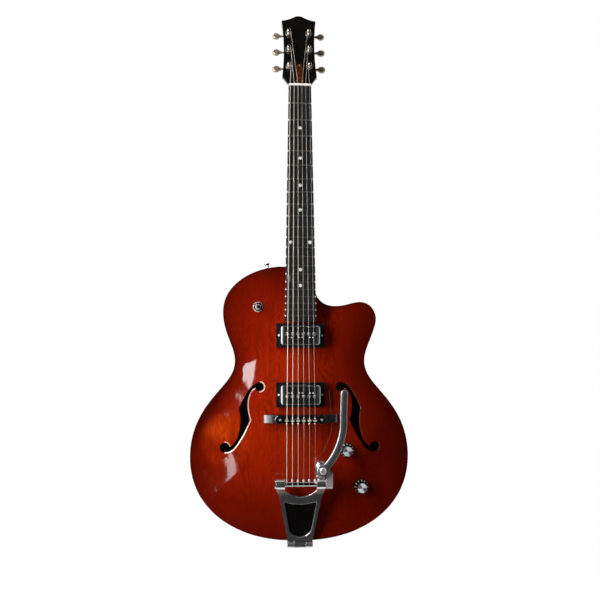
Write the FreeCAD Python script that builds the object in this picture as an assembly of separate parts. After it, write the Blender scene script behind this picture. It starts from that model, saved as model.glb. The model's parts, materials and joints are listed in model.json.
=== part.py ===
import FreeCAD, Part
import math
import os

os.makedirs("parts", exist_ok=True)

V = FreeCAD.Vector
X_AXIS = V(1, 0, 0)
Y_AXIS = V(0, 1, 0)
Z_AXIS = V(0, 0, 1)
ORIGIN = V(0, 0, 0)

# The guitar stands head up: X to the treble side, -Y to the front, Z from the tail end to the head.
# Heights are measured forward from the plane of the rim's front edge, in millimetres throughout.

# Body outline
BODY_LENGTH = 502.5
BODY_DEPTH = 76.0
LOWER_BOUT = 401.0
LOWER_BOUT_Z = 156.0
WAIST = 240.0
WAIST_Z = 326.0
UPPER_BOUT = 285.0
UPPER_BOUT_Z = 420.0
TAIL_SQUARENESS = 2.2
HEEL_WIDTH = 53.0
HORN_SIDE_Z = 404.0
HORN_TOP_X = 112.0
HORN_TOP_Z = 436.0
CUTAWAY_X = 64.0
CUTAWAY_Z = 428.2
CUTAWAY_RADIUS = 53.0
CUTAWAY_END_Z = 472.0
OUTLINE_SAMPLES = 72

# Plates, rim and inner woodwork
TOP_ARCH = 16.0
BACK_ARCH = 14.0
ARCH_CENTRE_Z = 240.0
ARCH_FALL = 1.5
ARCH_FADE = 45.0
ARCH_MARGIN = 12.0
ARCH_COLUMNS = 23
ARCH_ROWS = 27
PLATE_EDGE = 5.0
PLATE_WALL = 4.0
PLATE_FLANGE = 14.0
RIM_WALL = 3.0
LINING_WIDTH = 7.0
LINING_HEIGHT = 12.0
TONE_BAR_GAP = 0.7
TONE_BAR_WIDTH = 7.0
TONE_BAR_HEIGHT = 12.0
TONE_BAR_START_Z = 55.0
TONE_BAR_END_Z = 395.0
NECK_BLOCK_LENGTH = 60.0
NECK_BLOCK_BASS = 76.0
NECK_BLOCK_TREBLE = 45.0
TAIL_BLOCK_WIDTH = 84.0
TAIL_BLOCK_LENGTH = 24.0

# Sound holes
EYE_UPPER_X = 74.3
EYE_UPPER_Z = 279.2
EYE_UPPER_RADIUS = 8.6
EYE_LOWER_X = 137.4
EYE_LOWER_Z = 169.1
EYE_LOWER_RADIUS = 9.3
NOTCH_OUTER = (112.1, 238.6)
NOTCH_INNER = (90.6, 219.1)

# Neck, fingerboard and headstock
SCALE = 630.0
NECK_ANGLE = 3.3
BODY_FRET = 14
FRET_COUNT = 21
BOARD_HEIGHT = 19.0
BOARD_THICKNESS = 6.0
BOARD_LENGTH = 453.0
BOARD_RADIUS = 305.0
NUT_WIDTH = 43.0
BOARD_END_WIDTH = 58.0
NECK_INSET = 0.5
NUT_THICKNESS = 3.8
NUT_RISE = 2.2
NECK_TAIL_DEPTH = 78.0
TONGUE_INSET = 4.0
FRET_WIDTH = 2.5
FRET_CROWN = 1.1
FRET_TANG = 2.6
FRET_TANG_WIDTH = 0.6
DOT_RADIUS = 3.2
DOT_DEPTH = 1.5
DOT_FRETS = (3, 5, 7, 9, 15, 17)
OCTAVE_FRET = 12
OCTAVE_DOT_SPREAD = 35.4
TRUSS_ROD_WIDTH = 6.0
TRUSS_ROD_DEPTH = 8.0
TRUSS_ROD_LENGTH = 335.0
HEAD_ANGLE = 14.0
HEAD_DROP = 5.0
HEAD_START = 5.0
HEAD_THICKNESS = 13.5
HEAD_PLATE = 1.5
HEAD_CORNER_HALF = 34.4
HEAD_CORNER_Z = 158.2
HEAD_WAIST_HALF = 30.2
HEAD_WAIST_Z = 82.0
HEAD_EAR_HALF = 33.6
HEAD_EAR_Z = 19.0
EAR_FOOT_DEPTH = 3.0
EAR_TIP_DEPTH = 5.5
EAR_TAPER_END = 26.5
HEAD_PEAK_Z = 170.8
HEAD_PEAK_HALF = 9.0
COVER_HALF = 7.8
COVER_START_Z = 2.5
COVER_END_Z = 48.0
COVER_THICKNESS = 2.0

# Tuners
TUNER_X = 20.0
TUNER_Z = (43.0, 84.5, 126.0)
POST_RADIUS = 3.0
POST_WAIST = 2.6
POST_RISE = 10.5
RUNNING_FIT = 0.05
BUSHING_RADIUS = 5.0
BUSHING_FLANGE = 7.0
BUSHING_RISE = 1.5
GEAR_RADIUS = 5.6
GEAR_THICKNESS = 4.0
WORM_OFFSET = 9.0
WORM_RADIUS = 2.9
WORM_LENGTH = 10.0
WORM_DEPTH = 5.0
TUNER_SHAFT = 2.0
HOUSING_DEPTH = 10.5
HOUSING_HALF = 9.0
HOUSING_WALL = 1.2
BUTTON_X = 45.0
BUTTON_WIDTH = 15.0
BUTTON_HEIGHT = 13.6
BUTTON_THICKNESS = 7.0

# Strings
GAUGES = (1.32, 1.07, 0.81, 0.61, 0.43, 0.33)
NUT_SPREAD = 36.8
BRIDGE_SPREAD = 50.5
NUT_ACTION = 1.5
BRIDGE_ACTION = 4.7
STRING_GAP = 0.3
WINDING_HEIGHT = 6.6
WINDING_TURNS = 1.75
WINDING_SPACE = 0.6
STRING_BEND = 8.0

# Pickups
NECK_PICKUP_Z = 373.4
BRIDGE_PICKUP_Z = 266.0
RING_WIDTH = 89.0
RING_LENGTH = 44.5
RING_CORNER = 1.2
RING_RISE = 9.0
COVER_WIDTH = 70.5
COVER_LENGTH = 34.0
COVER_CORNER = 4.5
COVER_DEPTH = 24.0
COVER_WALL = 1.0
COVER_TOP = 1.5
PICKUP_GAP = 0.4
PICKUP_STRING_GAP = 3.6
INSERT_WIDTH = 58.0
INSERT_LENGTH = 30.0
POLE_PITCH = 9.8
POLE_ROW = 2.7
POLE_RADIUS = 2.9
POLE_RISE = 0.9
SMALL_ROW = 3.8
SMALL_PAIR_PITCH = 19.4
SMALL_PAIR_HALF = 2.9
SMALL_RADIUS = 1.2
RING_SCREW_X = 39.6
RING_SCREW_RADIUS = 1.0
LEG_REACH = 42.8
LEG_HALF = 4.0

# Bridge
BASE_WIDTH = 134.0
BASE_LENGTH = 14.5
BASE_HEIGHT = 27.0
STUD_SPACING = 75.0
STUD_RADIUS = 2.0
WHEEL_RADIUS = 8.5
WHEEL_THICKNESS = 3.0
WHEEL_LIFT = 1.5
BRIDGE_WIDTH = 88.4
BRIDGE_LENGTH = 12.0
BRIDGE_THICKNESS = 5.0
TROUGH_LENGTH = 7.0
TROUGH_DEPTH = 2.0
SADDLE_WIDTH = 6.6
SADDLE_LENGTH = 5.0

# Tailpiece and vibrato
HINGE_Z = -7.0
HINGE_HEIGHT = 1.0
HINGE_RADIUS = 5.1
HINGE_PIN_RADIUS = 2.2
HINGE_WIDTH = 46.5
HINGE_MIDDLE = 21.2
HINGE_GAP = 0.5
HINGE_PLATE = 2.5
HINGE_PLATE_LENGTH = 54.0
BAR_Z = 108.0
BAR_HEIGHT = 30.0
BAR_RADIUS = 4.5
BAR_PIN_RADIUS = 1.1
BAR_PIN_LENGTH = 9.5
BALL_RADIUS = 2.1
BALL_LENGTH = 3.0
BEARING_INNER_X = 28.5
BEARING_OUTER_X = 44.0
BEARING_RADIUS = 9.5
BUSH_RADIUS = 6.5
FRAME_THICKNESS = 3.5
FRAME_START = 8.0
FRAME_START_HALF = 22.5
FRAME_SHOULDER = 95.0
FRAME_SHOULDER_HALF = 38.0
FRAME_DIP = 94.4
FRAME_ARC_END = 107.0
WINDOW_BOTTOM = 16.0
WINDOW_TOP = 80.5
WINDOW_BOTTOM_HALF = 20.5
WINDOW_TOP_HALF = 29.3
PANEL_THICKNESS = 1.5
PIVOT_X = 38.5
PIVOT_Z = 134.0
SEAT_HEIGHT = 16.0
SEAT_THICKNESS = 3.5
SEAT_RADIUS = 11.0
LEVER_HEIGHT = 38.0
LEVER_THICKNESS = 4.0
LEVER_GAP = 1.2
HUB_RADIUS = 9.0
HUB_LENGTH = 11.3
SPRING_WIRE = 1.3
SPRING_RADIUS = 7.6
SPRING_TURNS = 4.5
ARM_WIDTH = 12.4
ARM_BEND = 13.0
ARM_RISE = 7.0
ARM_THICKNESS = 4.0
ARM_WASHER = 0.6
ARM_EYE_RADIUS = 11.0
ARM_MIDDLE = (63.8, 170.8)
ARM_STRAIGHT = (74.1, 229.5)
ARM_TIP_Z = 278.3
ARM_SCREW_RADIUS = 3.0
ARM_SCREW_HEAD = 6.0
ARM_SCREW_RISE = 3.6

# Controls
VOLUME_X = 85.2
VOLUME_Z = 164.1
TONE_X = 112.0
TONE_Z = 97.6
KNOB_RADIUS = 12.9
KNOB_CAP_RADIUS = 8.7
KNOB_HEIGHT = 17.0
KNOB_LIFT = 1.8
KNOB_RECESS = 7.6
KNOB_RECESS_DEPTH = 4.5
POT_SHAFT = 3.0
POT_SHAFT_GRIP = 12.5
POT_RADIUS = 12.0
POT_DEPTH = 10.0
POT_DROP = 1.2
POT_BUSHING = 4.6
POT_NUT = 6.5
HOLE_GAP = 0.15
SWITCH_X = 78.0
SWITCH_Z = 426.3
SWITCH_WASHER = 9.25
SWITCH_NUT = 5.6
SWITCH_BUSHING = 4.4
SWITCH_BORE = 3.3
SWITCH_PIVOT = 1.0
SWITCH_PIN = 0.7
LEVER_ROD = 1.6
LEVER_TIP = 3.4
LEVER_TIP_LENGTH = 12.0
JACK_X = 165.0
JACK_Z = 62.0
JACK_BORE = 3.2
JACK_BUSHING = 4.7
JACK_DEPTH = 24.0
STRAP_X = 60.0
STRAP_HEIGHT = 15.0
STRAP_SCREW = 2.0
STRAP_SCREW_LENGTH = 18.0
CABLE_RADIUS = 1.5


def front(height):
    return -BODY_DEPTH / 2 - height


def box(x0, x1, y0, y1, z0, z1):
    return Part.makeBox(x1 - x0, y1 - y0, z1 - z0, V(x0, y0, z0))


def rod(base, direction, radius, length):
    return Part.makeCylinder(radius, length, base, direction)


def tube(base, direction, outer, inner, length):
    return rod(base, direction, outer, length).cut(rod(base, direction, inner, length))


def turned(profile, base, direction):
    corners = [V(radius, 0, along) for radius, along in profile]
    face = Part.Face(Part.makePolygon(corners + corners[:1]))
    solid = face.revolve(ORIGIN, Z_AXIS, 360)
    solid.Placement = FreeCAD.Placement(base, FreeCAD.Rotation(Z_AXIS, direction))
    return solid


def slab(edges, y0, y1):
    face = Part.Face(Part.Wire(edges))
    face.translate(V(0, y0, 0))
    return face.extrude(V(0, y1 - y0, 0))


def line(a, b):
    return Part.makeLine(V(a[0], 0, a[1]), V(b[0], 0, b[1]))


def arc(a, b, c):
    return Part.Arc(V(a[0], 0, a[1]), V(b[0], 0, b[1]), V(c[0], 0, c[1])).toShape()


def curve(points):
    spline = Part.BSplineCurve()
    spline.interpolate(Points=[V(x, 0, z) for x, z in points])
    return spline


def polygon_slab(points, y0, y1):
    edges = [line(a, b) for a, b in zip(points, points[1:] + points[:1])]
    return slab(edges, y0, y1)


def rounded_block(centre_x, centre_z, width, length, radius, y0, y1):
    block = box(centre_x - width / 2, centre_x + width / 2, y0, y1, centre_z - length / 2,
                centre_z + length / 2)
    upright = [e for e in block.Edges if abs(e.Vertexes[0].Y - e.Vertexes[1].Y) > (y1 - y0) / 2]
    return block.makeFillet(radius, upright)


def save(name, *solids):
    shape = solids[0] if len(solids) == 1 else Part.makeCompound(list(solids))
    shape.exportStep("parts/" + name + ".step")


# Tangent paths for wire, string and cable
def tangent_arc(start, direction, end):
    chord = end - start
    length = chord.Length
    along = chord * (1 / length)
    cosine = min(1.0, direction.dot(along))
    half = math.acos(cosine)
    if half < 1e-4:
        return Part.makeLine(start, end)
    side = direction - along * cosine
    side.normalize()
    middle = (start + end) * 0.5 + side * (length / 2 * math.tan(half / 2))
    return Part.Arc(start, middle, end).toShape()


def biarc(start, first, end, last):
    chord = end - start
    both = first + last
    bend = 2 * (1 - first.dot(last))
    reach = chord.dot(both)
    if bend < 1e-9:
        step = chord.Length ** 2 / (2 * reach)
    else:
        step = (math.sqrt(reach ** 2 + bend * chord.Length ** 2) - reach) / bend
    joint = (start + end + (first - last) * step) * 0.5
    middle = joint - start - first * step
    middle.normalize()
    return [tangent_arc(start, first, joint), tangent_arc(joint, middle, end)]


def helix_stations(centre, across, up, axis, radius, pitch, turns, start):
    steps = int(round(turns * 4))
    slope = pitch / (2 * math.pi)
    stations = []
    for step in range(steps + 1):
        angle = turns * 2 * math.pi * step / steps
        out = across * math.cos(start + angle) + up * math.sin(start + angle)
        turn = up * math.cos(start + angle) - across * math.sin(start + angle)
        direction = turn * radius + axis * slope
        direction.normalize()
        stations.append((centre + out * radius + axis * (slope * angle), direction))
    return stations


def helix_edges(stations):
    edges = []
    for (a, first), (b, last) in zip(stations, stations[1:]):
        edges += biarc(a, first, b, last)
    return edges


def corner_path(points, radius):
    edges = []
    here = points[0]
    for before, corner, after in zip(points, points[1:], points[2:]):
        inward = corner - before
        outward = after - corner
        inward.normalize()
        outward.normalize()
        turn = math.acos(min(1.0, inward.dot(outward)))
        bend = radius(before, corner, after, turn)
        cut = bend * math.tan(turn / 2)
        begin = corner - inward * cut
        end = corner + outward * cut
        edges.append(Part.makeLine(here, begin))
        edges.append(tangent_arc(begin, inward, end))
        here = end
    edges.append(Part.makeLine(here, points[-1]))
    return edges


def wire_solid(edges, radius):
    path = Part.Wire(edges)
    first = edges[0]
    ring = Part.makeCircle(radius, first.Vertexes[0].Point, first.tangentAt(first.FirstParameter))
    return path.makePipeShell([Part.Wire(ring)], True, False)


# Body outline
def superellipse(half, length, squareness, degrees):
    sine = math.sin(math.radians(degrees)) ** (2 / squareness)
    cosine = math.cos(math.radians(degrees)) ** (2 / squareness)
    return half * sine, length * (1 - cosine)


def blend_points(start, end, shares):
    return [(start[0] + (end[0] - start[0]) * across, start[1] + (end[1] - start[1]) * along)
            for along, across in shares]


def lower_side():
    tail = [superellipse(LOWER_BOUT / 2, LOWER_BOUT_Z, TAIL_SQUARENESS, a) for a in (20, 40, 58, 75)]
    widest = (LOWER_BOUT / 2, LOWER_BOUT_Z)
    waist = (WAIST / 2, WAIST_Z)
    flank = blend_points(widest, waist, ((0.27, 0.095), (0.53, 0.38), (0.74, 0.745), (0.88, 0.945)))
    return tail + [widest] + flank + [waist]


def outline_curve():
    heel = HEEL_WIDTH / 2
    bout = UPPER_BOUT / 2
    shoulder_rise = BODY_LENGTH - UPPER_BOUT_Z
    bass = [(-heel, BODY_LENGTH)]
    for degrees in (18, 38, 58, 75):
        turn = math.radians(degrees)
        bass.append((-heel - (bout - heel) * math.sin(turn),
                     UPPER_BOUT_Z + shoulder_rise * math.cos(turn)))
    side = lower_side()
    bass.append((-bout, UPPER_BOUT_Z))
    upper = blend_points(side[-1], (bout, UPPER_BOUT_Z), ((0.207, 0.14), (0.445, 0.51), (0.7, 0.86)))
    bass += [(-x, z) for x, z in reversed(side + upper)]
    horn_side = (bout, HORN_SIDE_Z)
    horn_top = (HORN_TOP_X, HORN_TOP_Z)
    valley = (CUTAWAY_X, CUTAWAY_Z)
    end = (heel, CUTAWAY_END_Z)
    treble = blend_points(side[-1], horn_side, ((0.25, 0.146), (0.535, 0.52), (0.8, 0.86)))
    treble += [horn_side]
    treble += blend_points(horn_side, horn_top, ((0.61, 0.19), (0.93, 0.6)))
    treble += [horn_top]
    treble += blend_points(horn_top, valley, ((0.55, 0.45),))
    treble += [valley]
    treble += blend_points(valley, end, ((0.1, 0.49), (0.34, 0.8), (0.66, 0.95)))
    treble += [end]
    return curve(bass + [(0, 0)] + side + treble)


OUTLINE = outline_curve()


def outline_prism(inset, y0, y1):
    first = OUTLINE.FirstParameter
    span = OUTLINE.LastParameter - first
    heel = HEEL_WIDTH / 2 - inset
    top = BODY_LENGTH - inset
    if inset == 0:
        side = OUTLINE.toShape()
    else:
        points = []
        for step in range(OUTLINE_SAMPLES + 1):
            at = first + span * step / OUTLINE_SAMPLES
            here = OUTLINE.value(at)
            heading = OUTLINE.tangent(at)[0]
            points.append((here.x - heading.z * inset, here.z + heading.x * inset))
        side = curve(points).toShape()
    start = side.Vertexes[0].Point
    end = side.Vertexes[-1].Point
    edges = [side, line((end.x, end.z), (heel, top)), line((heel, top), (start.x, start.z))]
    return slab(edges, y0, y1)


def outline_at(x, z):
    at = OUTLINE.parameter(V(x, 0, z))
    heading = OUTLINE.tangent(at)[0]
    return OUTLINE.value(at), V(heading.z, 0, -heading.x)


# Arched surfaces
def smooth(share):
    share = min(max(share, 0), 1)
    return share * share * (3 - 2 * share)


def arch_height(x, z, crown):
    waisted = smooth((z - LOWER_BOUT_Z) / (WAIST_Z - LOWER_BOUT_Z))
    widened = smooth((z - WAIST_Z) / (UPPER_BOUT_Z - WAIST_Z))
    half = (LOWER_BOUT + (WAIST - LOWER_BOUT) * waisted + (UPPER_BOUT - WAIST) * widened) / 2
    reach = ARCH_CENTRE_Z if z < ARCH_CENTRE_Z else BODY_LENGTH - ARCH_CENTRE_Z
    along = max(0, 1 - ((z - ARCH_CENTRE_Z) / reach) ** 2) ** ARCH_FALL
    across = max(0, 1 - (x / half) ** 2) ** ARCH_FALL
    centre_x = (HEEL_WIDTH / 2 + HORN_TOP_X) / 2 + RIM_WALL * 3
    from_cutaway = math.hypot(x - centre_x, z - CUTAWAY_Z - CUTAWAY_RADIUS)
    return crown * along * across * smooth((from_cutaway - CUTAWAY_RADIUS) / ARCH_FADE)


def top_height(x, z):
    return arch_height(x, z, TOP_ARCH)


def arch_face(side, crown, drop):
    half = LOWER_BOUT / 2 + ARCH_MARGIN
    length = BODY_LENGTH + 2 * ARCH_MARGIN
    grid = []
    for column in range(ARCH_COLUMNS):
        x = -half + 2 * half * column / (ARCH_COLUMNS - 1)
        line_up = []
        for row in range(ARCH_ROWS):
            z = -ARCH_MARGIN + length * row / (ARCH_ROWS - 1)
            line_up.append(V(x, side * (BODY_DEPTH / 2 + arch_height(x, z, crown) - drop), z))
        grid.append(line_up)
    surface = Part.BSplineSurface()
    surface.interpolate(grid)
    return surface.toShape()


def ordered(a, b):
    return (a, b) if a < b else (b, a)


def plate(side, crown):
    inward = V(0, -side * BODY_DEPTH * 0.7, 0)
    outer = side * (BODY_DEPTH / 2 + crown + PLATE_EDGE)
    glue = side * (BODY_DEPTH / 2 - PLATE_EDGE)
    blank = outline_prism(0, *ordered(outer, glue)).common(arch_face(side, crown, 0).extrude(inward))
    past = glue - side * PLATE_EDGE
    hollow = outline_prism(PLATE_FLANGE, *ordered(outer, past))
    return blank.cut(hollow.common(arch_face(side, crown, PLATE_WALL).extrude(inward)))


def body_envelope():
    solid = outline_prism(0, front(TOP_ARCH + PLATE_EDGE), BODY_DEPTH / 2)
    return solid.common(arch_face(-1, TOP_ARCH, 0).extrude(V(0, BODY_DEPTH * 1.5, 0)))


ENVELOPE = body_envelope()
INNER_FRONT = front(-PLATE_EDGE)
INNER_BACK = BODY_DEPTH / 2 - PLATE_EDGE


def sound_hole(sign):
    reach = (front(TOP_ARCH + PLATE_EDGE), INNER_FRONT)
    eye_x = EYE_UPPER_X
    eye_z = EYE_UPPER_Z
    low_x = EYE_LOWER_X
    low_z = EYE_LOWER_Z
    begin = (eye_x, eye_z + EYE_UPPER_RADIUS - 0.6)
    finish = (low_x, low_z - EYE_LOWER_RADIUS + 0.3)
    outer_upper = [begin, (eye_x + 13.7, eye_z + 2), (eye_x + 23.2, eye_z - 10),
                   (eye_x + 31.7, eye_z - 25), NOTCH_OUTER]
    outer_lower = [NOTCH_OUTER, (low_x - 28.3, low_z + 50), (low_x - 26.8, low_z + 33),
                   (low_x - 21.4, low_z + 15),
                   (low_x - 14.4, low_z + 5.2), (low_x - 5.9, low_z + 1.4)]
    inner_lower = [finish, (low_x - 11.4, low_z - 6.7), (low_x - 24.4, low_z + 7.4),
                   (low_x - 35.4, low_z + 26),
                   NOTCH_INNER]
    inner_upper = [NOTCH_INNER, (eye_x + 20.7, eye_z - 43.2), (eye_x + 21.3, eye_z - 29),
                   (eye_x + 17.2, eye_z - 12.2),
                   (eye_x + 11.7, eye_z - 4.4), (eye_x + 4.7, eye_z - 1.9)]
    sides = [[(sign * x, z) for x, z in points] for points in (outer_upper, outer_lower, inner_lower,
                                                               inner_upper)]
    edges = [curve(sides[0]).toShape(), curve(sides[1]).toShape(), line(sides[1][-1], sides[2][0]),
             curve(sides[2]).toShape(), curve(sides[3]).toShape(), line(sides[3][-1], sides[0][0])]
    length = reach[1] - reach[0]
    upper = rod(V(sign * eye_x, reach[0], eye_z), Y_AXIS, EYE_UPPER_RADIUS, length)
    lower = rod(V(sign * low_x, reach[0], low_z), Y_AXIS, EYE_LOWER_RADIUS, length)
    return [slab(edges, *reach), upper, lower]


def inner_blocks():
    inside = outline_prism(RIM_WALL, INNER_FRONT, INNER_BACK)
    neck_end = box(-NECK_BLOCK_BASS, NECK_BLOCK_TREBLE, INNER_FRONT, INNER_BACK,
                   BODY_LENGTH - NECK_BLOCK_LENGTH, BODY_LENGTH)
    tail_end = box(-TAIL_BLOCK_WIDTH / 2, TAIL_BLOCK_WIDTH / 2, INNER_FRONT, INNER_BACK, 0,
                   TAIL_BLOCK_LENGTH)
    return inside.common(neck_end), inside.common(tail_end)


def linings(blocks):
    pieces = []
    for y0 in (INNER_FRONT, INNER_BACK - LINING_HEIGHT):
        strip = outline_prism(RIM_WALL, y0, y0 + LINING_HEIGHT)
        strip = strip.cut(outline_prism(RIM_WALL + LINING_WIDTH, y0, y0 + LINING_HEIGHT))
        for block in blocks:
            strip = strip.cut(block)
        pieces += strip.Solids
    return pieces


def tone_bars():
    under = arch_face(-1, TOP_ARCH, PLATE_WALL).extrude(V(0, TONE_BAR_HEIGHT, 0))
    bars = []
    half = TONE_BAR_WIDTH / 2
    centre = LEG_REACH + TONE_BAR_GAP + half
    for x in (-centre, centre):
        strip = box(x - half, x + half, front(TOP_ARCH), INNER_BACK, TONE_BAR_START_Z, TONE_BAR_END_Z)
        bars.append(under.common(strip))
    return bars


# Neck frame: origin on the fingerboard plane at the nut, local z towards the head, local y to the back
def fret_distance(number):
    return SCALE * (1 - 2 ** (-number / 12))


LEAN = math.radians(NECK_ANGLE)
NUT_POINT = V(0, front(BOARD_HEIGHT) + fret_distance(BODY_FRET) * math.sin(LEAN),
              BODY_LENGTH + fret_distance(BODY_FRET) * math.cos(LEAN))
NECK_PLACE = FreeCAD.Placement(NUT_POINT, FreeCAD.Rotation(X_AXIS, -NECK_ANGLE))
HEAD_POINT = NECK_PLACE.multVec(V(0, HEAD_DROP, HEAD_START))
HEAD_FOOT = NUT_THICKNESS - HEAD_START
HEAD_PLACE = FreeCAD.Placement(HEAD_POINT, FreeCAD.Rotation(X_AXIS, -NECK_ANGLE - HEAD_ANGLE))


def on_neck(shape):
    shape.Placement = NECK_PLACE.multiply(shape.Placement)
    return shape


def on_head(shape):
    shape.Placement = HEAD_PLACE.multiply(shape.Placement)
    return shape


def board_half(distance):
    return (NUT_WIDTH + (BOARD_END_WIDTH - NUT_WIDTH) * distance / BOARD_LENGTH) / 2


def board_plan(start, end, inset, y0, y1):
    near = board_half(start) - inset
    far = board_half(end) - inset
    return polygon_slab([(-near, -start), (near, -start), (far, -end), (-far, -end)], y0, y1)


def board_dome(rise, start, end):
    return rod(V(0, BOARD_RADIUS, -end), Z_AXIS, BOARD_RADIUS + rise, end - start)


def fret_tang(number):
    at = -fret_distance(number)
    half = board_half(-at) - FRET_TANG_WIDTH * 3
    strip = box(-half, half, -FRET_CROWN / 2, FRET_TANG, at - FRET_TANG_WIDTH / 2,
                at + FRET_TANG_WIDTH / 2)
    return strip.common(board_dome(FRET_CROWN / 2, -at - FRET_WIDTH, -at + FRET_WIDTH))


def frets():
    pieces = []
    for number in range(1, FRET_COUNT + 1):
        at = fret_distance(number)
        start = at - FRET_WIDTH / 2
        end = at + FRET_WIDTH / 2
        crown = board_plan(start, end, 0, -FRET_CROWN * 2, FRET_TANG)
        crown = crown.common(board_dome(FRET_CROWN, start, end)).cut(board_dome(0, start, end))
        pieces.append(on_neck(crown.fuse(fret_tang(number)).removeSplitter()))
    return pieces


def dots():
    places = [(0, number) for number in DOT_FRETS]
    places += [(-OCTAVE_DOT_SPREAD / 2, OCTAVE_FRET), (OCTAVE_DOT_SPREAD / 2, OCTAVE_FRET)]
    discs = []
    for x, number in places:
        at = (fret_distance(number - 1) + fret_distance(number)) / 2
        disc = rod(V(x, -FRET_CROWN, -at), Y_AXIS, DOT_RADIUS, DOT_DEPTH + FRET_CROWN)
        discs.append(disc.common(board_dome(0, at - DOT_RADIUS * 2, at + DOT_RADIUS * 2)))
    return discs


def fingerboard(discs):
    board = board_plan(0, BOARD_LENGTH, 0, -FRET_CROWN, BOARD_THICKNESS)
    board = board.common(board_dome(0, 0, BOARD_LENGTH))
    cuts = [fret_tang(number) for number in range(1, FRET_COUNT + 1)]
    return on_neck(board.cut(cuts + discs))


def string_x(number, spread):
    return spread * (number / (len(GAUGES) - 1) - 0.5)


def dome_drop(x):
    return x * x / (2 * BOARD_RADIUS)


def nut():
    half = NUT_WIDTH / 2
    block = box(-half, half, -NUT_RISE, BOARD_THICKNESS, 0, NUT_THICKNESS)
    block = block.common(board_dome(NUT_RISE, -NUT_THICKNESS, 0))
    for number, gauge in enumerate(GAUGES):
        x = string_x(number, NUT_SPREAD)
        side = gauge / 2 + HOLE_GAP
        floor = -NUT_ACTION + dome_drop(x) + HOLE_GAP
        block = block.cut(box(x - side, x + side, -NUT_RISE * 2, floor, -1, NUT_THICKNESS + 1))
    return on_neck(block)


def neck_section(distance, depth):
    half = board_half(distance) - NECK_INSET
    points = []
    for step in range(9):
        turn = math.pi * step / 8
        points.append(V(half * math.cos(turn), BOARD_THICKNESS + depth * math.sin(turn) ** 0.9,
                        -distance))
    back = Part.BSplineCurve()
    back.interpolate(Points=points)
    return Part.Wire([back.toShape(), Part.makeLine(points[-1], points[0])])


def head_outline():
    corner = (HEAD_CORNER_HALF, HEAD_CORNER_Z)
    waist = (HEAD_WAIST_HALF, HEAD_WAIST_Z)
    ear = (HEAD_EAR_HALF, HEAD_EAR_Z)
    foot = (NUT_WIDTH / 2, HEAD_FOOT)
    rise = HEAD_PEAK_Z - HEAD_CORNER_Z
    hollow = (HEAD_CORNER_HALF * 0.6, HEAD_CORNER_Z + rise * 0.28)
    crest = (HEAD_PEAK_HALF, HEAD_PEAK_Z - rise * 0.22)
    peak = (0, HEAD_PEAK_Z)

    def flip(point):
        return -point[0], point[1]

    return [line(flip(foot), foot), line(foot, ear), arc(ear, waist, corner),
            arc(corner, hollow, crest),
            arc(crest, peak, flip(crest)), arc(flip(crest), flip(hollow), flip(corner)),
            arc(flip(corner), flip(waist), flip(ear)), line(flip(ear), flip(foot))]


def tuner_places():
    return [(side * TUNER_X, z, side) for side in (-1, 1) for z in TUNER_Z]


def neck(rod_channel):
    joint = fret_distance(BODY_FRET)
    last = joint + HEAD_DROP * 2
    stations = ((-NUT_THICKNESS - 3, 12.0), (50, 14.0), (170, 15.5), (joint - 75, 17.5),
                (joint - 45, 20.5),
                (joint - 27, 27.0), (joint - 14, 40.0), (joint - 4, 62.0), (last, NECK_TAIL_DEPTH))
    shaft = Part.makeLoft([neck_section(at, depth) for at, depth in stations], True, False)
    tongue = board_plan(joint - 1, BOARD_LENGTH - TONGUE_INSET, TONGUE_INSET, BOARD_THICKNESS,
                        BOARD_HEIGHT * 2)
    body = on_neck(shaft.fuse(tongue))
    head = slab(head_outline(), HEAD_PLATE, HEAD_THICKNESS)
    for side in (-1, 1):
        inner = side * NUT_WIDTH / 2
        corners = [V(inner, EAR_FOOT_DEPTH, HEAD_FOOT - 1), V(inner, EAR_TIP_DEPTH, HEAD_EAR_Z - 3),
                   V(inner, HEAD_THICKNESS + 1, EAR_TAPER_END),
                   V(inner, HEAD_THICKNESS + 1, HEAD_FOOT - 1)]
        taper = Part.Face(Part.makePolygon(corners + corners[:1]))
        head = head.cut(taper.extrude(V(side * HEAD_EAR_HALF, 0, 0)))
    for x, z, side in tuner_places():
        head = head.cut(rod(V(x, 0, z), Y_AXIS, BUSHING_RADIUS, HEAD_THICKNESS))
    above = box(-HEAD_EAR_HALF, HEAD_EAR_HALF, -HEAD_THICKNESS, HEAD_PLATE, HEAD_FOOT, HEAD_PEAK_Z)
    whole = body.cut(on_head(above)).fuse(on_head(head))
    nut_shelf = box(-HEAD_EAR_HALF, HEAD_EAR_HALF, -HEAD_THICKNESS, BOARD_THICKNESS, 0, NUT_THICKNESS)
    whole = whole.cut(on_neck(nut_shelf)).cut(ENVELOPE).cut(rod_channel)
    return max(whole.Solids, key=lambda solid: solid.Volume)


def truss_rod():
    half = TRUSS_ROD_WIDTH / 2
    return on_neck(box(-half, half, BOARD_THICKNESS, BOARD_THICKNESS + TRUSS_ROD_DEPTH,
                       -TRUSS_ROD_LENGTH, 0))


def head_plate(screws):
    sheet = slab(head_outline(), 0, HEAD_PLATE)
    for x, z, side in tuner_places():
        sheet = sheet.cut(rod(V(x, 0, z), Y_AXIS, BUSHING_RADIUS, HEAD_PLATE))
    return on_head(sheet).cut(screws + [nut()])


def rod_cover_screws():
    shank = COVER_THICKNESS + HEAD_PLATE * 3
    places = ((0, COVER_END_Z - 4), (-COVER_HALF + 2.5, COVER_START_Z + 4),
              (COVER_HALF - 2.5, COVER_START_Z + 4))
    profile = ((0, 0), (0.9, 0), (0.9, shank), (1.7, shank), (1.5, shank + 0.8), (0, shank + 1.0))
    return [on_head(turned(profile, V(x, shank - COVER_THICKNESS, z), -Y_AXIS)) for x, z in places]


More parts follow.
